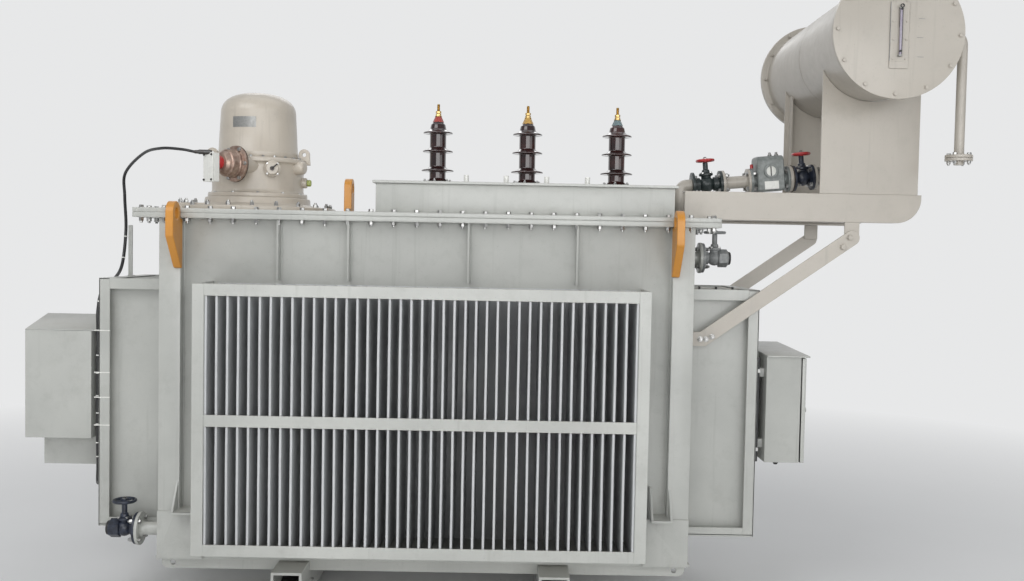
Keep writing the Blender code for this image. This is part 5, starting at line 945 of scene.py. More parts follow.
class TRANSFORMER_OT_bushings(bpy.types.Operator):
    """Glazed bushings with flat sheds, clamping rings, lobed caps and threaded stems"""
    bl_idname = "transformer.bushings"
    bl_label = "Bushings and terminals"

    def execute(self, context):
        size = context.scene.transformer_sizes
        column, sheds = .0385, ((.076, .069), (.0715, .159), (.0695, .246))
        outline = [(0, 0), (.066, 0), (.066, .012), (column + .012, .022), (column, .030)]
        for radius, height in sheds:
            outline += [(column, height - .008), (column + .008, height - .003),
                        (radius - .008, height - .0055),
                        (radius, height - .0055), (radius, height), (radius - .004, height + .0025),
                        (column + .010, height + .009), (column, height + .017)]
        outline += [(.034, .284), (.0265, .291), (.0245, .297), (0, .297)]
        glazed = lathed(outline, .0028, 64)
        ring = lathed([(.072, 0), (.072, .014), (.050, .020), (.050, 0)], .0015, 56, steps=2, ring=True)
        corners, faces = lathed([(0, .324), (.012, .324), (.0145, .320), (.0235, .299), (.0250, .296),
                                 (.0245, .2945), (0, .2945)], .0015, 72)
        lobe = 1 + .07 * np.cos(6 * np.arctan2(corners[:, 1], corners[:, 0]))
        cap = corners * np.stack([lobe, lobe, np.ones(len(lobe))], axis=1), faces
        threads = np.c_[.0065 + .0004 * np.cos(np.arange(79) * math.pi), np.linspace(.022, .074, 79)]
        stem = np.concatenate([[(0, 0), (.0065, 0)], threads, [(.0055, .0778), (0, .078)]])
        bits = gathered(turned(stem, 20), lathed([(0, .0225), (.0165, .0225), (.0165, .019), (0, .019)],
                                                 .0008, 32),
                        *[turned([(0, z + .011), (.0115, z + .011), (.0130, z + .009), (.0130, z + .001),
                                  (0, z)], 6)
                          for z in (.0225, .0345)])
        for side, look, slot in (("left", "cap_red", "red_paint"), ("middle", "cap_golden", "orange_paint"),
                                 ("right", "cap_blue_green", "relay_grey_paint")):
            low, high = BOX[f"bushing_{side}"]
            foot = frame_at(((low[0] + high[0]) / 2, (low[1] + high[1]) / 2, low[2]))
            made(f"bushing_{side}_glazed", moved(glazed, foot), "brown_porcelain",
                 replaces=(f"bushing_{side}",), sharp=40.0)
            made(f"bushing_{side}_clamp", gathered(moved(ring, foot), fasteners(
                NUT_AND_STUD, size.small_bolt * .9, bolt_circle(foot, .062, 6, 20, .013), Z)), "zinc",
                 "cast_metal")
            made(f"bushing_{side}_cap", moved(cap, foot), look, slot)
            top = frame_at((foot[0, 3], foot[1, 3], BOX[f"terminal_{side}"][0][2]))
            made(f"terminal_{side}_stem", moved(bits, top), "brass", replaces=(f"terminal_{side}",))
        return {"FINISHED"}


def relief_axis():
    """The relief valve's axis, the middle of its flange face, and a place whose z is the axis."""
    turn = math.radians(234)
    out = np.array((math.cos(turn), math.sin(turn), 0))
    low, high = BOX["tap_changer_base"]
    start = np.array(((low[0] + high[0]) / 2 - out[1] * .125, out[0] * .125, BOX["tap_changer_head"][0][2]
                      + .145))
    return out, start + out * .2328, axle_at(start + out * .2328, out)


class TRANSFORMER_OT_tap_changer(bpy.types.Operator):
    """Tap changer: stepped mounting ring, cast head with bosses and ears, and the broad-topped dome

    The dome's shoulder is r = R (1 - ((z - z0) / H)^n)^(1/n), which is flatter on top than a circle.
    """
    bl_idname = "transformer.tap_changer"
    bl_label = "Tap changer"

    def execute(self, context):
        size = context.scene.transformer_sizes
        low, high = BOX["tap_changer_base"]
        x = (low[0] + high[0]) / 2
        foot, head, dome = (frame_at((x, 0, BOX[n][0][2])) for n in ("tap_changer_base", "tap_changer_head",
                                                                     "tap_changer_dome"))
        base = lathed([(0, .070), (.245, .070), (.249, .066), (.252, .040), (.262, .034), (.300, .032),
                       (.304, .026), (.370, .024), (.374, .020), (.374, 0), (0, 0)], .004, 96, foot)
        side = blocks((x - .350, -.2232, low[2]), (x - .160, -.093, low[2] + .036), .004)
        made("tap_changer_base_ring", gathered(base, side), "dome_cream", "warm_grey_paint",
             ("tap_changer_base",))
        barrel = [(0, .186), (.2285, .186), (.2325, .183), (.2325, .166), (.229, .163), (.220, .160),
                  (.2165, .152),
                  (.2165, .034), (.220, .024), (.2345, .018), (.2355, .015), (.2355, .001), (.233, 0), (0, 0)]
        stub = [(0, .108), (.026, .108), (.030, .104), (.030, .094), (.038, .091), (.038, .080), (.030, .077),
                (.030, 0),
                (0, 0)]
        along = np.array((.1456, -.9893, 0))
        front = axle_at(head[:3, 3] + (.105, -.1305, .130), along)
        right = axle_at(head[:3, 3] + (.152, 0, .078), X)
        relief = relief_axis()[2]
        seat = lathed([(0, -.0003), (.040, -.0003), (.040, -.1023), (0, -.1023)], .002, 48, relief)
        ears = [cut_plate([np.concatenate([[(-.030, -.022), (.030, -.022), (.027, .012)],
                                           arc((0, .029), .027, 0, 180, 24), [(-.027, .012)]]),
                           arc((0, .029), .010, 0, 345, 23)], .014, .0016,
                          facing_front(head[:3, 3] + (side_x * .22305, 0, .186))) for side_x in (-1, 1)]
        lobe = lathed([(0, .098), (.024, .098), (.031, .090), (.033, .060), (.033, 0), (0, 0)], .004, 40,
                      axle_at(head[:3, 3] + (.150, -.060, .145), (.96, -.28, 0)))
        shell = gathered(lathed(barrel, .003, 96, head), moved(lathed(stub, .002, 48), front), lobe,
                         moved(lathed([(0, .086), (.022, .086), (.025, .082), (.025, 0), (0, 0)], .003, 40),
                               right),
                         seat, *ears)
        made("tap_changer_head_cast", shell, "dome_cream", "warm_grey_paint", ("tap_changer_head",))
        rise = np.sin(np.radians(np.linspace(90, 0, 29)))
        shoulder = np.c_[.178 * (1 - rise ** 2.5) ** (1 / 2.5), .212 + .106 * rise]
        profile = np.concatenate([shoulder, [(.1835, .12), (.1875, .036), (.1905, .030), (.191, .027),
                                             (.191, .003),
                                             (.189, 0), (0, 0)]])
        made("tap_changer_dome_bell", turned(profile, 96, dome), "dome_cream", "warm_grey_paint",
             ("tap_changer_dome",), sharp=38.0)
        turn = np.radians(np.linspace(-116.5, -80.5, 13))[:, None]
        radius, level = np.array([.1800, .1830, .1830, .1800]), np.array([-.025, -.025, .025, .025]) + .164
        sheet = np.stack([x + radius * np.cos(turn), radius * np.sin(turn), dome[2, 3] + level + 0 * turn],
                         axis=-1)
        ends = [sheet[i].mean(axis=0) + 0 * sheet[0] for i in (0, -1)]
        sheet = skin(np.concatenate([ends[:1], sheet, ends[1:]]))
        made("tap_changer_plate", sheet, "fitting_grey", "gauge_white")
        ringed = bolt_circle(head, .2115, 24, 4, .186)
        lower = bolt_circle(foot, .346, 20, 9, .0240)
        inner = bolt_circle(head, .2265, 12, 13, .016)
        bolts = gathered(fasteners(HEX_HEAD, size.small_bolt, ringed, Z),
                         fasteners(NUT_AND_STUD, size.cover_bolt * .95, lower, Z),
                         fasteners(HEX_HEAD, size.small_bolt, inner, Z),
                         fasteners(HEX_HEAD, .009, bolt_circle(front, .033, 4, 45, .091), along),
                         fasteners(NUT_AND_STUD, .017, [(x - u, -.20, low[2] + .036)
                                                        for u in (.315, .288, .244)], Z))
        made("tap_changer_bolts", bolts, "zinc", "dark_steel")
        tip = front[:3, 3] + along * .108
        lever = gathered(tube([tip, tip + (.002, -.010, 0), tip + (.008, -.016, .004), tip
                               + (.028, -.018, .020)],
                              .0035, 10), turned([(0, .010), (.010, .010), (.010, 0), (0, 0)], 24,
                                                 axle_at(tip, along)))
        made("tap_changer_lever", lever, "dark_steel")
        plug = lathed([(0, .020), (.013, .020), (.0160, .016), (.0160, 0), (0, 0)], .002, 6,
                      axle_at(head[:3, 3] + (.238, 0, .078), X))
        made("tap_changer_plug", plug, "gland_green", "brass")
        return {"FINISHED"}


class TRANSFORMER_OT_relief_valve(bpy.types.Operator):
    """Pressure relief valve: bolted flange with a dark gasket, stepped bell, red collar and switch box"""
    bl_idname = "transformer.relief_valve"
    bl_label = "Relief valve"

    def execute(self, context):
        size = context.scene.transformer_sizes
        out, start, place = relief_axis()
        bell = [(0, .098), (.030, .098), (.0435, .095), (.053, .081), (.0545, .073), (.0605, .069),
                (.062, .065),
                (.062, .034), (.0655, .030), (.0655, .018), (.0825, .016), (.0825, .004), (.081, .001),
                (0, .001)]
        made("relief_valve_bell", lathed(bell, .0015, 72, place), "cast_metal", replaces=("relief_valve",))
        made("relief_valve_gasket", turned([(0, .0055), (.0835, .0055), (.0835, .0025), (0, .0025)], 64,
                                           place),
             "gasket", "black_conduit")
        made("relief_valve_bolts", fasteners(HEX_HEAD, size.small_bolt * 1.15,
                                             bolt_circle(place, .074, 6, 30, .016),
                                             out), "zinc", "dark_steel")
        collar = lathed([(0, .1225), (.026, .1225), (.030, .119), (.030, .096), (0, .096)], .002, 40, place)
        made("relief_valve_collar", collar, "red_paint")
        centre = start + out * .148
        box = frame_at(centre - Z * .026, np.cross(Z, out), Z)
        case = blocks([(-.032, -.065, -.026), (-.0325, -.0655, .0105)],
                      [(.032, .065, .010), (.0325, .0655, .016)], .004)
        made("relief_valve_switch_box", moved(case, box), "gauge_white")
        gland = lathed([(0, .075), (.0078, .075), (.0085, .058), (.0105, .055), (.0105, 0), (0, 0)], .001, 20,
                       axle_at(centre + (.006, -.012, .041), -X))
        screws = [box[:3, 3] + box[:3, 0] * u + Z * v + out * .016 for u in (-.026, .026)
                  for v in (-.056, .056)]
        made("relief_valve_screws", gathered(fasteners(HEX_HEAD, .008, screws, out), gland), "dark_steel")
        return {"FINISHED"}


class TRANSFORMER_OT_conservator(bpy.types.Operator):
    """Conservator drum with flanged, bolted end plates"""
    bl_idname = "transformer.conservator"
    bl_label = "Conservator"

    def execute(self, context):
        low, high = BOX["conservator_drum"]
        x, z, r = (low[0] + high[0]) / 2, (low[2] + high[2]) / 2, (high[2] - low[2]) / 2
        half, middle = (high[1] - low[1]) / 2, (high[1] + low[1]) / 2
        place = axle_at((x, middle, z), Y)
        rim = [(.245, half), (r, half), (r, half - .012), (.256, half - .012), (.250, half - .018)]
        profile = eased(rim + [(a, -b) for a, b in reversed(rim)], .0015, 2, True)
        shell = gathered(turned(profile, 128, place, ring=True), turned(
            [(.2505, .004), (.2512, .002), (.2512, -.002), (.2505, -.004)], 128, place, ring=True))
        made("conservator_drum_shell", shell, "warm_grey_paint", replaces=("conservator_drum",))
        bolts = []
        for side, out in (("front", -1), ("back", 1)):
            node = f"conservator_end_{side}"
            at = (x, (BOX[node][0][1] + BOX[node][1][1]) / 2, z)
            face = axle_at(at, (0, out, 0), X)
            disc = lathed([(0, .007), (r, .007), (r, -.007), (0, -.007)], .0015, 128, face, steps=2)
            made(node + "_plate", disc, "warm_grey_paint", replaces=(node,))
            ring, inner = (bolt_circle(face, .2627, 12, -2, height) for height in (.007, -.0195))
            bolts += [fasteners(HEX_HEAD, .0145, ring, (0, out, 0), 11),
                      fasteners(NUT_AND_STUD, .013, inner, (0, -out, 0), 12)]
        made("conservator_bolts", gathered(*bolts), "warm_grey_paint")
        return {"FINISHED"}


class TRANSFORMER_OT_stand(bpy.types.Operator):
    """Conservator stand: saddle legs, channel beams and bolted struts"""
    bl_idname = "transformer.stand"
    bl_label = "Conservator stand"

    def execute(self, context):
        drum = BOX["conservator_drum"]
        axis_x, axis_z = (drum[0][0] + drum[1][0]) / 2, (drum[0][2] + drum[1][2]) / 2
        bolts, painted = [], []
        for side, out in (("front", -1), ("back", 1)):
            low, high = BOX[f"conservator_leg_{side}"]
            face = low[1] if out < 0 else high[1]
            inward = -out
            reach = (high[0] - low[0]) / 2
            angle = math.degrees(math.asin(reach / .2512))
            saddle = arc((axis_x, axis_z), .2512, -90 + angle, -90 - angle, 40)
            web = np.concatenate([[(low[0], low[2]), (high[0], low[2])], saddle])
            shoulder = saddle[0][1]
            steel = .008
            parts = [cut_plate([web], steel, .001, facing_front((0, face + inward * steel / 2, 0)))]
            inside = face + inward * .060
            for edge, way in ((low[0] + .020, 1), (high[0] - .020, -1)):
                parts.append(blocks((edge, face + inward * .002, low[2]),
                                    (edge + way * steel, inside, shoulder - .004), .001))
            made(f"conservator_leg_{side}_web", gathered(*parts), "warm_grey_paint",
                 replaces=(f"conservator_leg_{side}",))

            low, high = BOX[f"conservator_beam_{side}"]
            face, r = (low[1] if out < 0 else high[1]), .112
            web = np.concatenate([[(low[0], high[2]), (low[0], low[2])],
                                  arc((high[0] - r, low[2] + r), r, 270, 360, 20), [(high[0], high[2])]])
            parts = [cut_plate([web], steel, .0015, facing_front((0, face + inward * steel / 2, 0))),
                     blocks((low[0], face + inward * .004, high[2] - steel),
                            (high[0], face + inward * .062, high[2]), .001),
                     blocks((low[0], face + inward * .004, low[2]),
                            (high[0] - r, face + inward * .062, low[2] + steel), .001)]
            made(f"conservator_beam_{side}_web", gathered(*parts), "warm_grey_paint",
                 replaces=(f"conservator_beam_{side}",))
            leg = BOX[f"conservator_leg_{side}"]
            rests = [(x, face + inward * .038, high[2]) for x in (leg[0][0] + .05, leg[1][0] - .05)]
            seats = [(x, face + inward * .036, low[2] + steel) for x in (low[0] + .035, low[0] + .100)]
            under = [(x, y, high[2] - steel) for x, y, _ in rests]
            bolts += [fasteners(HEX_HEAD, .022, rests, Z, 21), fasteners(HEX_HEAD, .022, seats, Z, 22),
                      fasteners(NUT_AND_STUD, .020, under, -Z, 23)]

            low, high = BOX[f"conservator_strut_{side}"]
            front = low[1] if out < 0 else high[1]
            top = np.array((MIDDLE_X + 1.929, 1.726))
            web = np.concatenate([[(MIDDLE_X + 1.1803, 1.217), (MIDDLE_X + 1.2683, 1.217)],
                                  arc(top, .034, -54.74, 125.26, 20),
                                  [(MIDDLE_X + 1.2438, 1.283), (MIDDLE_X + 1.1803, 1.283)]])
            bar = cut_plate([web], .010, .0012, facing_front((0, front + inward * .005, 0)))
            head = blocks((top[0] - .034, front + inward * .010, 1.726),
                          (top[0] + .034, front + inward * .018, 1.798))
            made(f"conservator_strut_{side}_bar", gathered(bar, head), "warm_grey_paint",
                 replaces=(f"conservator_strut_{side}",))
            slope = np.array((.8164, .5774))
            marks = [top + slope * .006 + (-.017, -.002), top - slope * .045 + (-.006, -.016)]
            painted.append(fasteners(HEX_HEAD, .022, [(u, front, v) for u, v in marks], (0, out, 0), 24))
            feet = [(MIDDLE_X + u, front, z) for u, z in ((1.2440, 1.2500), (1.2704, 1.2505),
                                                          (1.2980, 1.2620))]
            bolts.append(fasteners(NUT_AND_STUD, .020, feet, (0, out, 0), 25))
        made("stand_bolts", gathered(*bolts), "zinc", "dark_steel")
        made("strut_bolts", gathered(*painted), "warm_grey_paint")
        return {"FINISHED"}


class TRANSFORMER_OT_gauge(bpy.types.Operator):
    """Oil level gauge: pale strip, thin tinted tube beside dark rods, small fittings, plain dashes, and a dark bar
    down the strip's left edge that is a painted shadow
    """
    bl_idname = "transformer.gauge"
    bl_label = "Oil level gauge"

    def execute(self, context):
        low, high = BOX["oil_level_gauge"]
        x, face = (low[0] + high[0]) / 2, high[1]
        mid = (BOX["conservator_end_front"][0][2] + BOX["conservator_end_front"][1][2]) / 2
        strips = [cut_plate([eased([(x - half, z), (x + half, z), (x + half, z + tall), (x - half, z + tall)],
                                   .006, 4,
                                   True)], .005, .001, facing_front((0, face - .0028 - step, 0)))
                  for half, z, tall, step in ((.0405, mid - .155, .040, 0),
                                              (.0390, mid - .127, high[2] - mid + .127, .001))]
        screws = [(x + u, face - .0063, z) for z in mid + np.array((-.115, -.034, .043, .128))
                  for u in (-.028, .028)]
        made("gauge_strip", gathered(*strips, fasteners(HEX_HEAD, .007, screws, -Y, 41)), "warm_grey_paint",
             "gauge_white", ("oil_level_gauge",))
        depth, foot, top = face - .017, mid - .103, mid + .094
        glass = lathed([(0, 0), (.0055, 0), (.0055, top - foot), (0, top - foot)], .001, 24,
                       frame_at((x, depth, foot)))
        made("gauge_glass", glass, "sight_glass", "gauge_white")
        rods = [tube([(x + .0072, depth, foot), (x + .0072, depth, top)], .0011, 8),
                tube([(x - .0070, depth, (foot + top) / 2 + .02), (x - .0070, depth, top)], .0008, 8)]
        dots = [lathed([(0, .010), (.0048, .010), (.0048, 0), (0, 0)], .0008, 16,
                       axle_at((x + u, depth, z), -Y)) for u, z in ((-.0015, mid - .0845),
                                                                    (.001, mid + .0925))]
        seat = [blocks((x - .008, depth - .006, z), (x + .008, face - .004, z + .010), .002)
                for z in (foot - .004, top)]
        ring = lathed([(.0052, .003), (.0090, .003), (.0090, -.003), (.0052, -.003)], .0008, 28,
                      axle_at((x + .002, depth - .005, top + .012), -Y), steps=2, ring=True)
        dashes = [blocks((x + u, face - .0008, mid + z - .0012),
                         (x + u + .027, face + .0002, mid + z + .0012), .0002)
                  for z, u in ((.058, .081), (-.022, .076), (-.104, .080))]
        # A thin dark bar down the strip's left edge, in the fittings' grey: a painted shadow, not a part of the
        # gauge
        painted_shadow_bar = blocks((x - .0410, face - .0062, mid - .124), (x - .0382, face - .0008, high[2] - .004),
                       .0005)
        made("gauge_marks", gathered(*rods, *dots, ring), "black_mark", "black_conduit")
        # The seats and dashes share this object with the painted shadow bar
        made("gauge_seats_and_painted_shadow", gathered(*seat, *dashes, painted_shadow_bar), "fitting_grey", "dark_steel")
        return {"FINISHED"}


def valve(place, length, flange, bore, lift, outer=None):
    """Valve along local z: flanges, waisted necks, a full round body, and a bonnet along local x.

    With an outer radius the far flange gives way to a hexagon of that radius.
    """
    t, mid, r = .012, length / 2, bore * 1.3
    far = outer * .82 if outer else flange
    profile = [(0, 0), (flange, 0), (flange, t), (bore * 1.35, t), (bore * 1.15, t + .004),
               (bore * 1.12, mid - r * .85)]
    profile += list(arc((0, mid), r, -52, 52, 12)) + [(bore * 1.12, mid + r * .85),
                                                      (bore * 1.15, length - t - .004),
                                                     (far, length - t), (far, length), (0, length)]
    top = axle_at((place @ (0, 0, mid, 1))[:3], place[:3, 0])
    end = lift - .0095
    neck = [(0, end), (.011, end), (.0125, end - .002), (.0125, r + .034), (.018, r + .030), (.019, r + .018),
            (bore * .95, r + .015), (bore * 1.12, r + .013), (bore * 1.12, r + .003), (bore * .8, r),
            (bore * .72, 0),
            (0, 0)]
    parts = [lathed(profile, .0016, 56, place, steps=2), lathed(neck, .0012, 40, top, steps=2)]
    if outer:
        parts.append(lathed([(0, length - .004), (outer, length - .004), (outer, length - .048),
                             (0, length - .048)], .002, 6, place))
    stem = turned([(0, lift + .017), (.006, lift + .017), (.0070, lift + .0155), (.0070, end - .01),
                   (0, end - .01)], 24, top)
    studs = [fasteners(HEX_HEAD, .0125, bolt_circle(top, bore * .93, 4, 45, r + .012), top[:3, 2], 31)]
    return gathered(*parts), stem, studs


def handwheel(place, radius, rim=.007, lobes=0):
    """Rim: a circle of radius r carried round, waved in and out by the lobes; four spokes and a bored hub."""
    angle = np.arange(96) * math.tau / 96
    ring = radius - rim
    sway = 1 + (0.035 * np.cos(angle * lobes) if lobes else 0 * angle)
    turn = np.arange(14) * math.tau / 14
    around = ring * sway[None, :] + rim * .92 * np.cos(turn)[:, None]
    around = np.minimum(around, radius)
    height = np.broadcast_to(rim * np.sin(turn)[:, None], around.shape)
    parts = [skin(np.stack([around * np.cos(angle), around * np.sin(angle), height], axis=-1), True, True),
             lathed([(.0078, .009), (.014, .009), (.014, -.009), (.0078, -.009)], .0012, 32, steps=2,
                    ring=True)]
    for index in range(4):
        a = math.tau * (index + .5) / 4
        out = np.array((math.cos(a), math.sin(a), 0))
        share = np.linspace(0, 1, 8)[:, None]
        path = out * (.012 + (ring - .012) * share) + Z * (.0015 * np.sin(share * math.pi))
        parts.append(tube(path, np.linspace(.0052, .0040, 8), 10))
    nut = turned([(0.0078, .0125), (.0095, .0125), (.011, .0115), (.011, .0088), (.0078, .0088)], 6,
                 ring=True)
    return moved(gathered(*parts), place), moved(nut, place)


class TRANSFORMER_OT_oil_line(bpy.types.Operator):
    """Oil line: outlet elbow, two valves whose red handwheels come from the handwheel step, gas relay and the
    riser to the drum
    """
    bl_idname = "transformer.oil_line"
    bl_label = "Oil line"

    def execute(self, context):
        size = context.scene.transformer_sizes
        slope = math.radians(5.0)
        run = np.array((math.cos(slope), 0, math.sin(slope)))
        over = np.array((-math.sin(slope), 0, math.cos(slope)))
        start = np.array((MIDDLE_X + 1.19, 0, BOX["cover"][1][2] + .17))
        radius, flange = .030, .062

        def at(distance):
            return axle_at(start + run * distance, run, over)

        def piece(name, outline, look, slot, replaces=(), *more):
            made(name, gathered(lathed(outline, .0015, 48, at(0), steps=2), *more), look, slot, replaces)

        def seats(side, low, high):
            """A flange, its fillet and the pipe it sits on; side is the way from flange to pipe."""
            return [(flange, low), (flange, high), (.040, high), (.0335, high + side * .006),
                    (radius, high + side * .013)]

        elbow_foot = np.array((start[0], 0, BOX["cover"][1][2] + .0003))
        bend = eased([elbow_foot, start, start + run * .060], .050, 14)
        pipe = tube(np.concatenate([[elbow_foot], bend[1:]]), .0295, 32, Y)
        foot = lathed([(0, .012), (.060, .012), (.062, .010), (.062, 0), (0, 0)], .0015, 48,
                      frame_at(elbow_foot))
        low_valve, low_stem, low_studs = valve(at(.055), .146, flange, radius, .116)
        high_valve, high_stem, high_studs = valve(at(.547), .100, flange, radius, .116)
        made("oil_valve_low_body", low_valve, "valve_green_black", "dark_blue_paint", ("oil_valve_low",))
        made("oil_valve_high_body", high_valve, "dark_blue_paint", replaces=("oil_valve_high",))
        made("oil_outlet_elbow", gathered(pipe, foot), "warm_grey_paint")
        made("oil_valve_stems", gathered(low_stem, high_stem), "dark_steel")
        piece("relay_inlet_pipe", [(0, .2013), *seats(1, .2013, .2133), *reversed(seats(-1, .337, .325)),
                                   (0, .337)],
              "warm_grey_paint", "warm_grey_paint")

        centre = at(.432)[:3, 3]
        half, low, high, crown = .060, -.055, .115, .028
        section = np.concatenate([eased([(-half, .02), (-half, low), (half, low), (half, .02)], .010, 4),
                                  arc((half - crown, high - crown), crown, 0, 90, 6),
                                  arc((crown - half, high - crown), crown, 90, 180, 6)])
        window = axle_at(centre + over * .040 - Y * .060, -Y, run)
        bezel = lathed([(.0235, .007), (.033, .007), (.035, .005), (.035, -.002), (.0235, -.002)], .0012, 48,
                       window, steps=2, ring=True)
        necks = [lathed([(0, .337 + a), (flange, .337 + a), (flange, .337 + a + b), (.042, .337 + a + b),
                         (.036, .337 + a + b * 1.6), (.036, .337 + a + c), (0, .337 + a + c)], .0015, 48,
                        at(0), steps=2)
                 for a, b, c in ((0, .012, .045), (.190, -.012, -.045))]
        housing = cut_plate([section], .130, .005, frame_at(centre, Y, over))
        made("gas_relay_housing", gathered(housing, *necks, bezel), "relay_grey_paint",
             replaces=("gas_relay",), sharp=38.0)
        made("gas_relay_glass", lathed([(0, .004), (.024, .003), (.024, -.001), (0, -.001)], .001, 40,
                                       window),
             "white_nylon", "gauge_white")
        made("gas_relay_scale", moved(blocks((-.0035, -.023, .0035), (.0015, .023, .0052), .0004), window),
             "black_mark",
             "black_conduit")
        made("gas_relay_plate", moved(blocks((-.034, -.0465, 0), (.034, -.0080, .0012), .0004),
                                      axle_at(centre - Y * .0602, -Y, run)), "gauge_white")
        cock = lathed([(0, .022), (.005, .022), (.0065, .019), (.0065, .013), (.010, .011), (.010, .004),
                       (.0075, .002), (.0075, 0), (0, 0)], .0008, 20)
        rod = tube([centre - run * .079 + over * h for h in (.030, .078)], .0045, 12)
        made("gas_relay_cocks", gathered(*[moved(cock, axle_at(centre + over * .112 + run * s, over))
                                           for s in (.012, .044)], rod), "fitting_grey", "brass")
        made("gas_relay_cock_cap", lathed([(0, .020), (.006, .020), (.0078, .016), (.0078, 0), (0, 0)], .0015,
                                          20, axle_at(centre - run * .079 + over * .062, over)), "red_paint")
        piece("relay_outlet_ring", [(0, .5273), (flange, .5273), (flange, .5425), (0, .5425)],
              "warm_grey_paint",
              "warm_grey_paint")
        piece("relay_outlet_gasket", [(0, .5425), (.0645, .5425), (.0645, .5468), (0, .5468)], "gasket",
              "cast_metal")

        low, high = BOX["conservator_drum"]
        corner = start + run * ((low[0] + high[0]) / 2 - start[0]) / run[0]
        top = BOX["oil_riser_pipe"][1][2]
        path = eased([start + run * .648, corner, (corner[0], 0, top)], .095, 18)
        collar = turned([(.030, top - .0215), (.046, top - .0085), (.052, top - .001), (.030, top - .001)],
                        40,
                        frame_at((corner[0], 0, 0)), ring=True)
        piece("oil_riser_bend", [(0, .6473), *seats(1, .6473, .6593), (0, .6723)], "warm_grey_paint",
              "warm_grey_paint", ("oil_riser_pipe",), tube(path, radius, 32, Y), collar)
        heads = [fasteners(HEX_HEAD, .017, bolt_circle(at(0), .049, 4, 45, d), run * way, 33)
                 for d, way in ((.067, 1), (.189, -1), (.325, -1), (.515, -1), (.635, -1))]
        tails = [fasteners(NUT_AND_STUD, .017, bolt_circle(at(0), .049, 4, 45, d), run, 34)
                 for d in (.2133, .349, .559, .6593)]
        feet = fasteners(HEX_HEAD, size.flange_bolt, bolt_circle(frame_at(elbow_foot), .049, 4, 45, .012), Z)
        made("oil_line_bolts", gathered(*heads, *tails, feet, *low_studs, *high_studs), "zinc", "dark_steel")
        return {"FINISHED"}


class TRANSFORMER_OT_wheels(bpy.types.Operator):
    """Handwheels of the oil line and of the filter and drain valves"""
    bl_idname = "transformer.wheels"
    bl_label = "Handwheels"

    def execute(self, context):
        joints = {joint["name"]: joint for joint in FRAME["joints"]}
        for node, body, look, slot, lobes in (
                ("oil_valve_wheel_low", "low_oil_wheel", "red_paint", "red_paint", 5),
                ("oil_valve_wheel_high", "high_oil_wheel", "red_paint", "red_paint", 5),
                ("filter_valve_wheel", "filter_wheel", "valve_grey", "dark_blue_paint", 0),
                ("drain_valve_wheel", "drain_wheel", "dark_blue_paint", "dark_blue_paint", 0)):
            axis = np.array(joints[body + "_turn"]["axis"], float)
            centre = np.array(joints[body + "_turn"]["pos_m"], float)
            across = np.cross(Y, axis)
            place = axle_at(centre, axis, across)
            radius = (BOX[node][1][0] - BOX[node][0][0]) / 2 / math.cos(math.asin(abs(axis[0])))
            wheel, nut = handwheel(place, min(radius, .0548), .007, lobes)
            made(node + "_rim", wheel, look, slot, (node,), body)
            made(node + "_nut", nut, "zinc", slot, (), body)
        return {"FINISHED"}


class TRANSFORMER_OT_side_valves(bpy.types.Operator):
    """Filter valve on the right end wall and drain valve on the left, with their pipes and caps"""
    bl_idname = "transformer.side_valves"
    bl_label = "Filter and drain valves"

    def execute(self, context):
        size = context.scene.transformer_sizes
        bolts, stems, pipes, caps = [], [], [], []
        for node, out, look, slot in (("filter_valve", 1, "valve_grey", "relay_grey_paint"),
                                      ("drain_valve", -1, "dark_blue_paint", "dark_blue_paint")):
            low, high = BOX[node]
            wall = low[0] if out > 0 else high[0]
            joint = [j for j in FRAME["joints"] if j["name"] == node.replace("_valve", "_wheel_turn")][0]
            y, z = joint["pos_m"][1], joint["pos_m"][2] - .125
            place = axle_at((wall, y, z), (out, 0, 0), Z)
            inner = axle_at((wall + out * .120, y, z), (out, 0, 0), Z)
            body, stem, studs = valve(inner, .130, .072, .028, .125, .044)
            made(node + "_cast", body, look, slot, (node,))
            stems.append(stem)
            pipes.append(lathed([(0, 0), (.044, 0), (.036, .006), (.0295, .012), (.0295, .096), (.034, .101),
                                 (.040, .106), (.0745, .106), (.0745, .1195), (0, .1195)], .0015, 56, place,
                                steps=2))
            caps.append(lathed([(0, .262), (.029, .262), (.032, .259), (.032, .240), (0, .240)], .0015, 36,
                               place))
            bolts += studs + [fasteners(kind, size.flange_bolt, bolt_circle(place, .059, 4, 45, distance),
                                        (way, 0, 0))
                              for kind, distance, way in ((HEX_HEAD, .106, -out), (NUT_AND_STUD, .132, out))]
        made("side_valve_pipes", gathered(*pipes), "light_grey_paint")
        made("side_valve_stems", gathered(*stems), "dark_steel")
        made("side_valve_caps", gathered(*caps), "black_conduit")
        made("side_valve_bolts", gathered(*bolts), "zinc", "dark_steel")
        return {"FINISHED"}


class TRANSFORMER_OT_breather(bpy.types.Operator):
    """Breather pipe with its bend and bolted flange pair"""
    bl_idname = "transformer.breather"
    bl_label = "Breather pipe"

    def execute(self, context):
        low, high = BOX["breather_pipe"]
        x, y = high[0] - .0575, (low[1] + high[1]) / 2
        bottom, level = low[2], high[2] - .021
        path = eased([(low[0], y, level), (x, y, level), (x, y, bottom)], .046, 14)
        foot = frame_at((x, y, bottom + .030))
        rings = [lathed([(.0205, a), (.0575, a), (.0575, b), (.0205, b)], .0012, 48, foot, steps=2, ring=True)
                 for a, b in ((-.013, -.0008), (.0008, .013))]
        seat = lathed([(0, 0), (.034, 0), (.034, .006), (.024, .012), (0, .012)], .001, 40,
                      axle_at((low[0] - .001, y, level), X))
        made("breather_bend", gathered(tube(path, .0208, 28, Y), seat, *rings), "warm_grey_paint",
             replaces=("breather_pipe",))
        bolts = gathered(fasteners(HEX_HEAD, .016, bolt_circle(foot, .044, 4, 45, .013), Z),
                         fasteners(NUT_AND_STUD, .014, bolt_circle(foot, .044, 4, 45, -.013), -Z))
        made("breather_bolts", bolts, "zinc", "dark_steel")
        return {"FINISHED"}


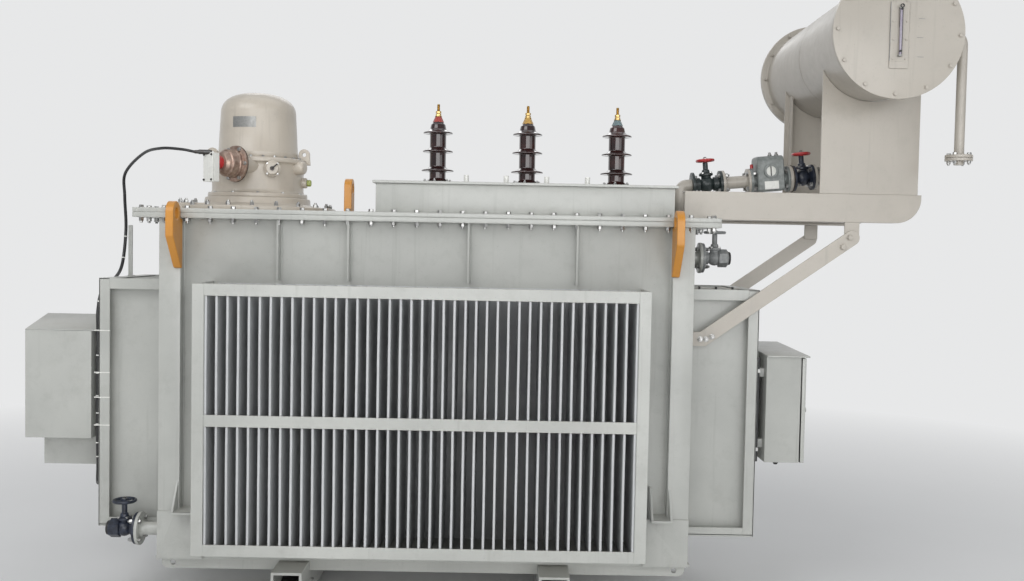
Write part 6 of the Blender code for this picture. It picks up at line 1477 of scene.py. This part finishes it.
class TRANSFORMER_OT_boxes(bpy.types.Operator):
    """Cabinet, marshalling box with its door, lock, hinges and glands, conduit strip and sensor lead"""
    bl_idname = "transformer.boxes"
    bl_label = "Cabinet and marshalling box"

    def execute(self, context):
        low = BOX["drive_cabinet"][0]
        eased_copy("drive_cabinet", width=.0016, least=(low[0] + .018, low[1] + .018, low[2]))
        eased_copy("marshalling_box", width=.0010)
        eased_copy("marshalling_door", width=.0010, body="box_door")
        low = BOX["marshalling_box"][0]
        plate = blocks((1.345, -.245, low[2] - .004), (1.455, .185, low[2] + .0005), .001)
        made("gland_plate", plate, "gland_green", "light_grey_paint")
        spots = [(1.40, y, low[2] - .004) for y in np.linspace(-.20, .14, 6)]
        gland = lathed([(0, .026), (.0085, .026), (.010, .022), (.0125, .020), (.0125, .008), (.0145, .007),
                        (.0145, 0), (0, 0)], .0008, 20)
        made("box_glands", placed(gland, [axle_at(spot, -Z) for spot in spots]), "black_conduit")
        bank = BOX["fin_bank_right"]
        edge, front = bank[1][0], bank[0][1]
        strip = blocks((edge + .0008, front + .006, .681), (edge + .0108, front + .030, 1.165), .002)
        made("conduit_strip", strip, "black_conduit")
        made("conduit_brackets", blocks([(edge + .0004, front + .001, z) for z in (.730, 1.095)],
                                        [(edge + .0128, front + .036, z + .018) for z in (.730, 1.095)],
                                        .001), "zinc",
             "dark_steel")
        level = bank[1][2]
        lead = flowing([(1.000, front + .120, level - .002), (1.030, front + .118, level + .004),
                        (1.075, front + .124, level - .001), (1.120, front + .116, level + .006),
                        (1.165, front + .120, level), (1.205, front + .116, level + .002)], 8)
        made("sensor_lead", tube(lead, .0028, 8), "pale_lead", "gauge_white")
        clips = blocks([(x - .004, front + .108, level - .009) for x in (1.020, 1.098, 1.176)],
                       [(x + .004, front + .130, level + .009) for x in (1.020, 1.098, 1.176)], .0008)
        made("sensor_lead_clips", clips, "black_conduit")
        return {"FINISHED"}


class TRANSFORMER_OT_cable(bpy.types.Operator):
    """Control cable from the relief valve to the cabinet, with its post and ties"""
    bl_idname = "transformer.cable"
    bl_label = "Control cable"

    def execute(self, context):
        bank, cabinet = BOX["fin_bank_left"], BOX["drive_cabinet"]
        face, top = bank[0][0], bank[1][2]
        radius = .008
        run_x = face - .0049 - radius + .0003
        fall_x, front_y, fall_top = run_x - radius, -.29 + radius, top + .249
        gland = np.array((cabinet[1][0] - .0392 - .0355, -.12, cabinet[0][2]))
        out, flange, _ = relief_axis()
        start = flange + out * .148 + (-.069, -.012, .041)
        low = cabinet[0][2] - .075
        points = [start, start + (-.06, 0, .010), start + (-.17, .06, .018), start + (-.30, .20, .004),
                  (fall_x + .035, -.02, fall_top + .25), (fall_x + .014, .03, fall_top + .14),
                  (fall_x + .006, .07, fall_top - .02), (fall_x, .04, top + .06),
                  (run_x, -.08, top - .01), (run_x, front_y + .05, top - .06),
                  (run_x, front_y, top - .15), (run_x, front_y, 1.235), (run_x, front_y, .9835),
                  (run_x, front_y, .732), (run_x, front_y + .01, cabinet[0][2]),
                  (run_x - .012, (front_y * 2 - .12) / 3, low + .01),
                  ((run_x + gland[0] * 2) / 3, (front_y - .24) / 3, low - .01),
                  (gland[0], -.12, (gland[2] + low) / 2),
                  gland - (0, 0, .012), gland - (0, 0, .0004)]
        line = flowing(points, 10)
        thick = .0063 + (radius * .98 - .0063) * np.clip(np.linspace(0, 2.6, len(line)), 0, 1)
        made("control_cable_sheath", tube(line, thick, 14, (.2, .95, .24)), "black_conduit",
             replaces=("control_cable",), sharp=60.0)
        post = blocks((face + .001, .060, top - .001), (face + .021, .068, top + .250), .001)
        made("cable_post", gathered(post, blocks((face + .001, .052, top - .004),
                                                 (face + .030, .076, top + .004), .001)), "light_grey_paint")
        down = line[:140]
        spots = [int(np.argmin(np.abs(down[:, 2] - z))) for z in (
            top + .20, top + .09, 1.365, 1.236, 1.125, 1.042, .927, .858, .798, .711, .642)]
        band = lathed([(radius - .0004, -.0026), (radius + .0012, -.0026), (radius + .0012, .0026),
                       (radius - .0004, .0026)], .0004, 24, steps=1, ring=True)
        rings = [moved(band, axle_at(line[spot], line[spot + 1] - line[spot - 1])) for spot in spots]
        edge = min(bank[0][1], front_y - radius)
        straps = blocks([(run_x - radius, edge - .0016, z - .0026) for z in (1.236, 1.042, .927, .798)],
                        [(face + .052, edge - .0002, z + .0026) for z in (1.236, 1.042, .927, .798)], .0004)
        made("cable_ties", gathered(*rings, straps), "white_nylon", "gauge_white")
        return {"FINISHED"}


STEPS = (TRANSFORMER_OT_stage, TRANSFORMER_OT_base, TRANSFORMER_OT_tank, TRANSFORMER_OT_lugs,
         TRANSFORMER_OT_fins,
         TRANSFORMER_OT_cover_bolts, TRANSFORMER_OT_bushings, TRANSFORMER_OT_tap_changer,
         TRANSFORMER_OT_relief_valve, TRANSFORMER_OT_conservator, TRANSFORMER_OT_stand, TRANSFORMER_OT_gauge,
         TRANSFORMER_OT_oil_line, TRANSFORMER_OT_wheels, TRANSFORMER_OT_side_valves, TRANSFORMER_OT_breather,
         TRANSFORMER_OT_boxes, TRANSFORMER_OT_cable)


class TRANSFORMER_PT_panel(bpy.types.Panel):
    """Lists the steps and the settings"""
    bl_idname = "TRANSFORMER_PT_panel"
    bl_label = "Transformer"
    bl_space_type = "VIEW_3D"
    bl_region_type = "UI"
    bl_category = "Transformer"

    def draw(self, context):
        for step in STEPS:
            self.layout.operator(step.bl_idname)
        for settings in (context.scene.transformer_paint, context.scene.transformer_sizes,
                         context.scene.transformer_stage):
            for name in settings.__annotations__:
                self.layout.prop(settings, name)


CLASSES = (TransformerPaint, TransformerSizes, TransformerStage, *STEPS, TRANSFORMER_PT_panel)


def register():
    for item in CLASSES:
        bpy.utils.register_class(item)
    bpy.types.Scene.transformer_paint = bpy.props.PointerProperty(type=TransformerPaint)
    bpy.types.Scene.transformer_sizes = bpy.props.PointerProperty(type=TransformerSizes)
    bpy.types.Scene.transformer_stage = bpy.props.PointerProperty(type=TransformerStage)


def unregister():
    for name in ("transformer_paint", "transformer_sizes", "transformer_stage"):
        delattr(bpy.types.Scene, name)
    for item in reversed(CLASSES):
        bpy.utils.unregister_class(item)


def main():
    register()
    for node, thing in FRAME["nodes"].items():
        thing.data.materials.clear()
        thing.data.materials.append(finish(SLOT_OF[node]))
    for step in STEPS:
        group_name, call = step.bl_idname.split(".")
        getattr(getattr(bpy.ops, group_name), call)()


if __name__ == "__main__":
    main()
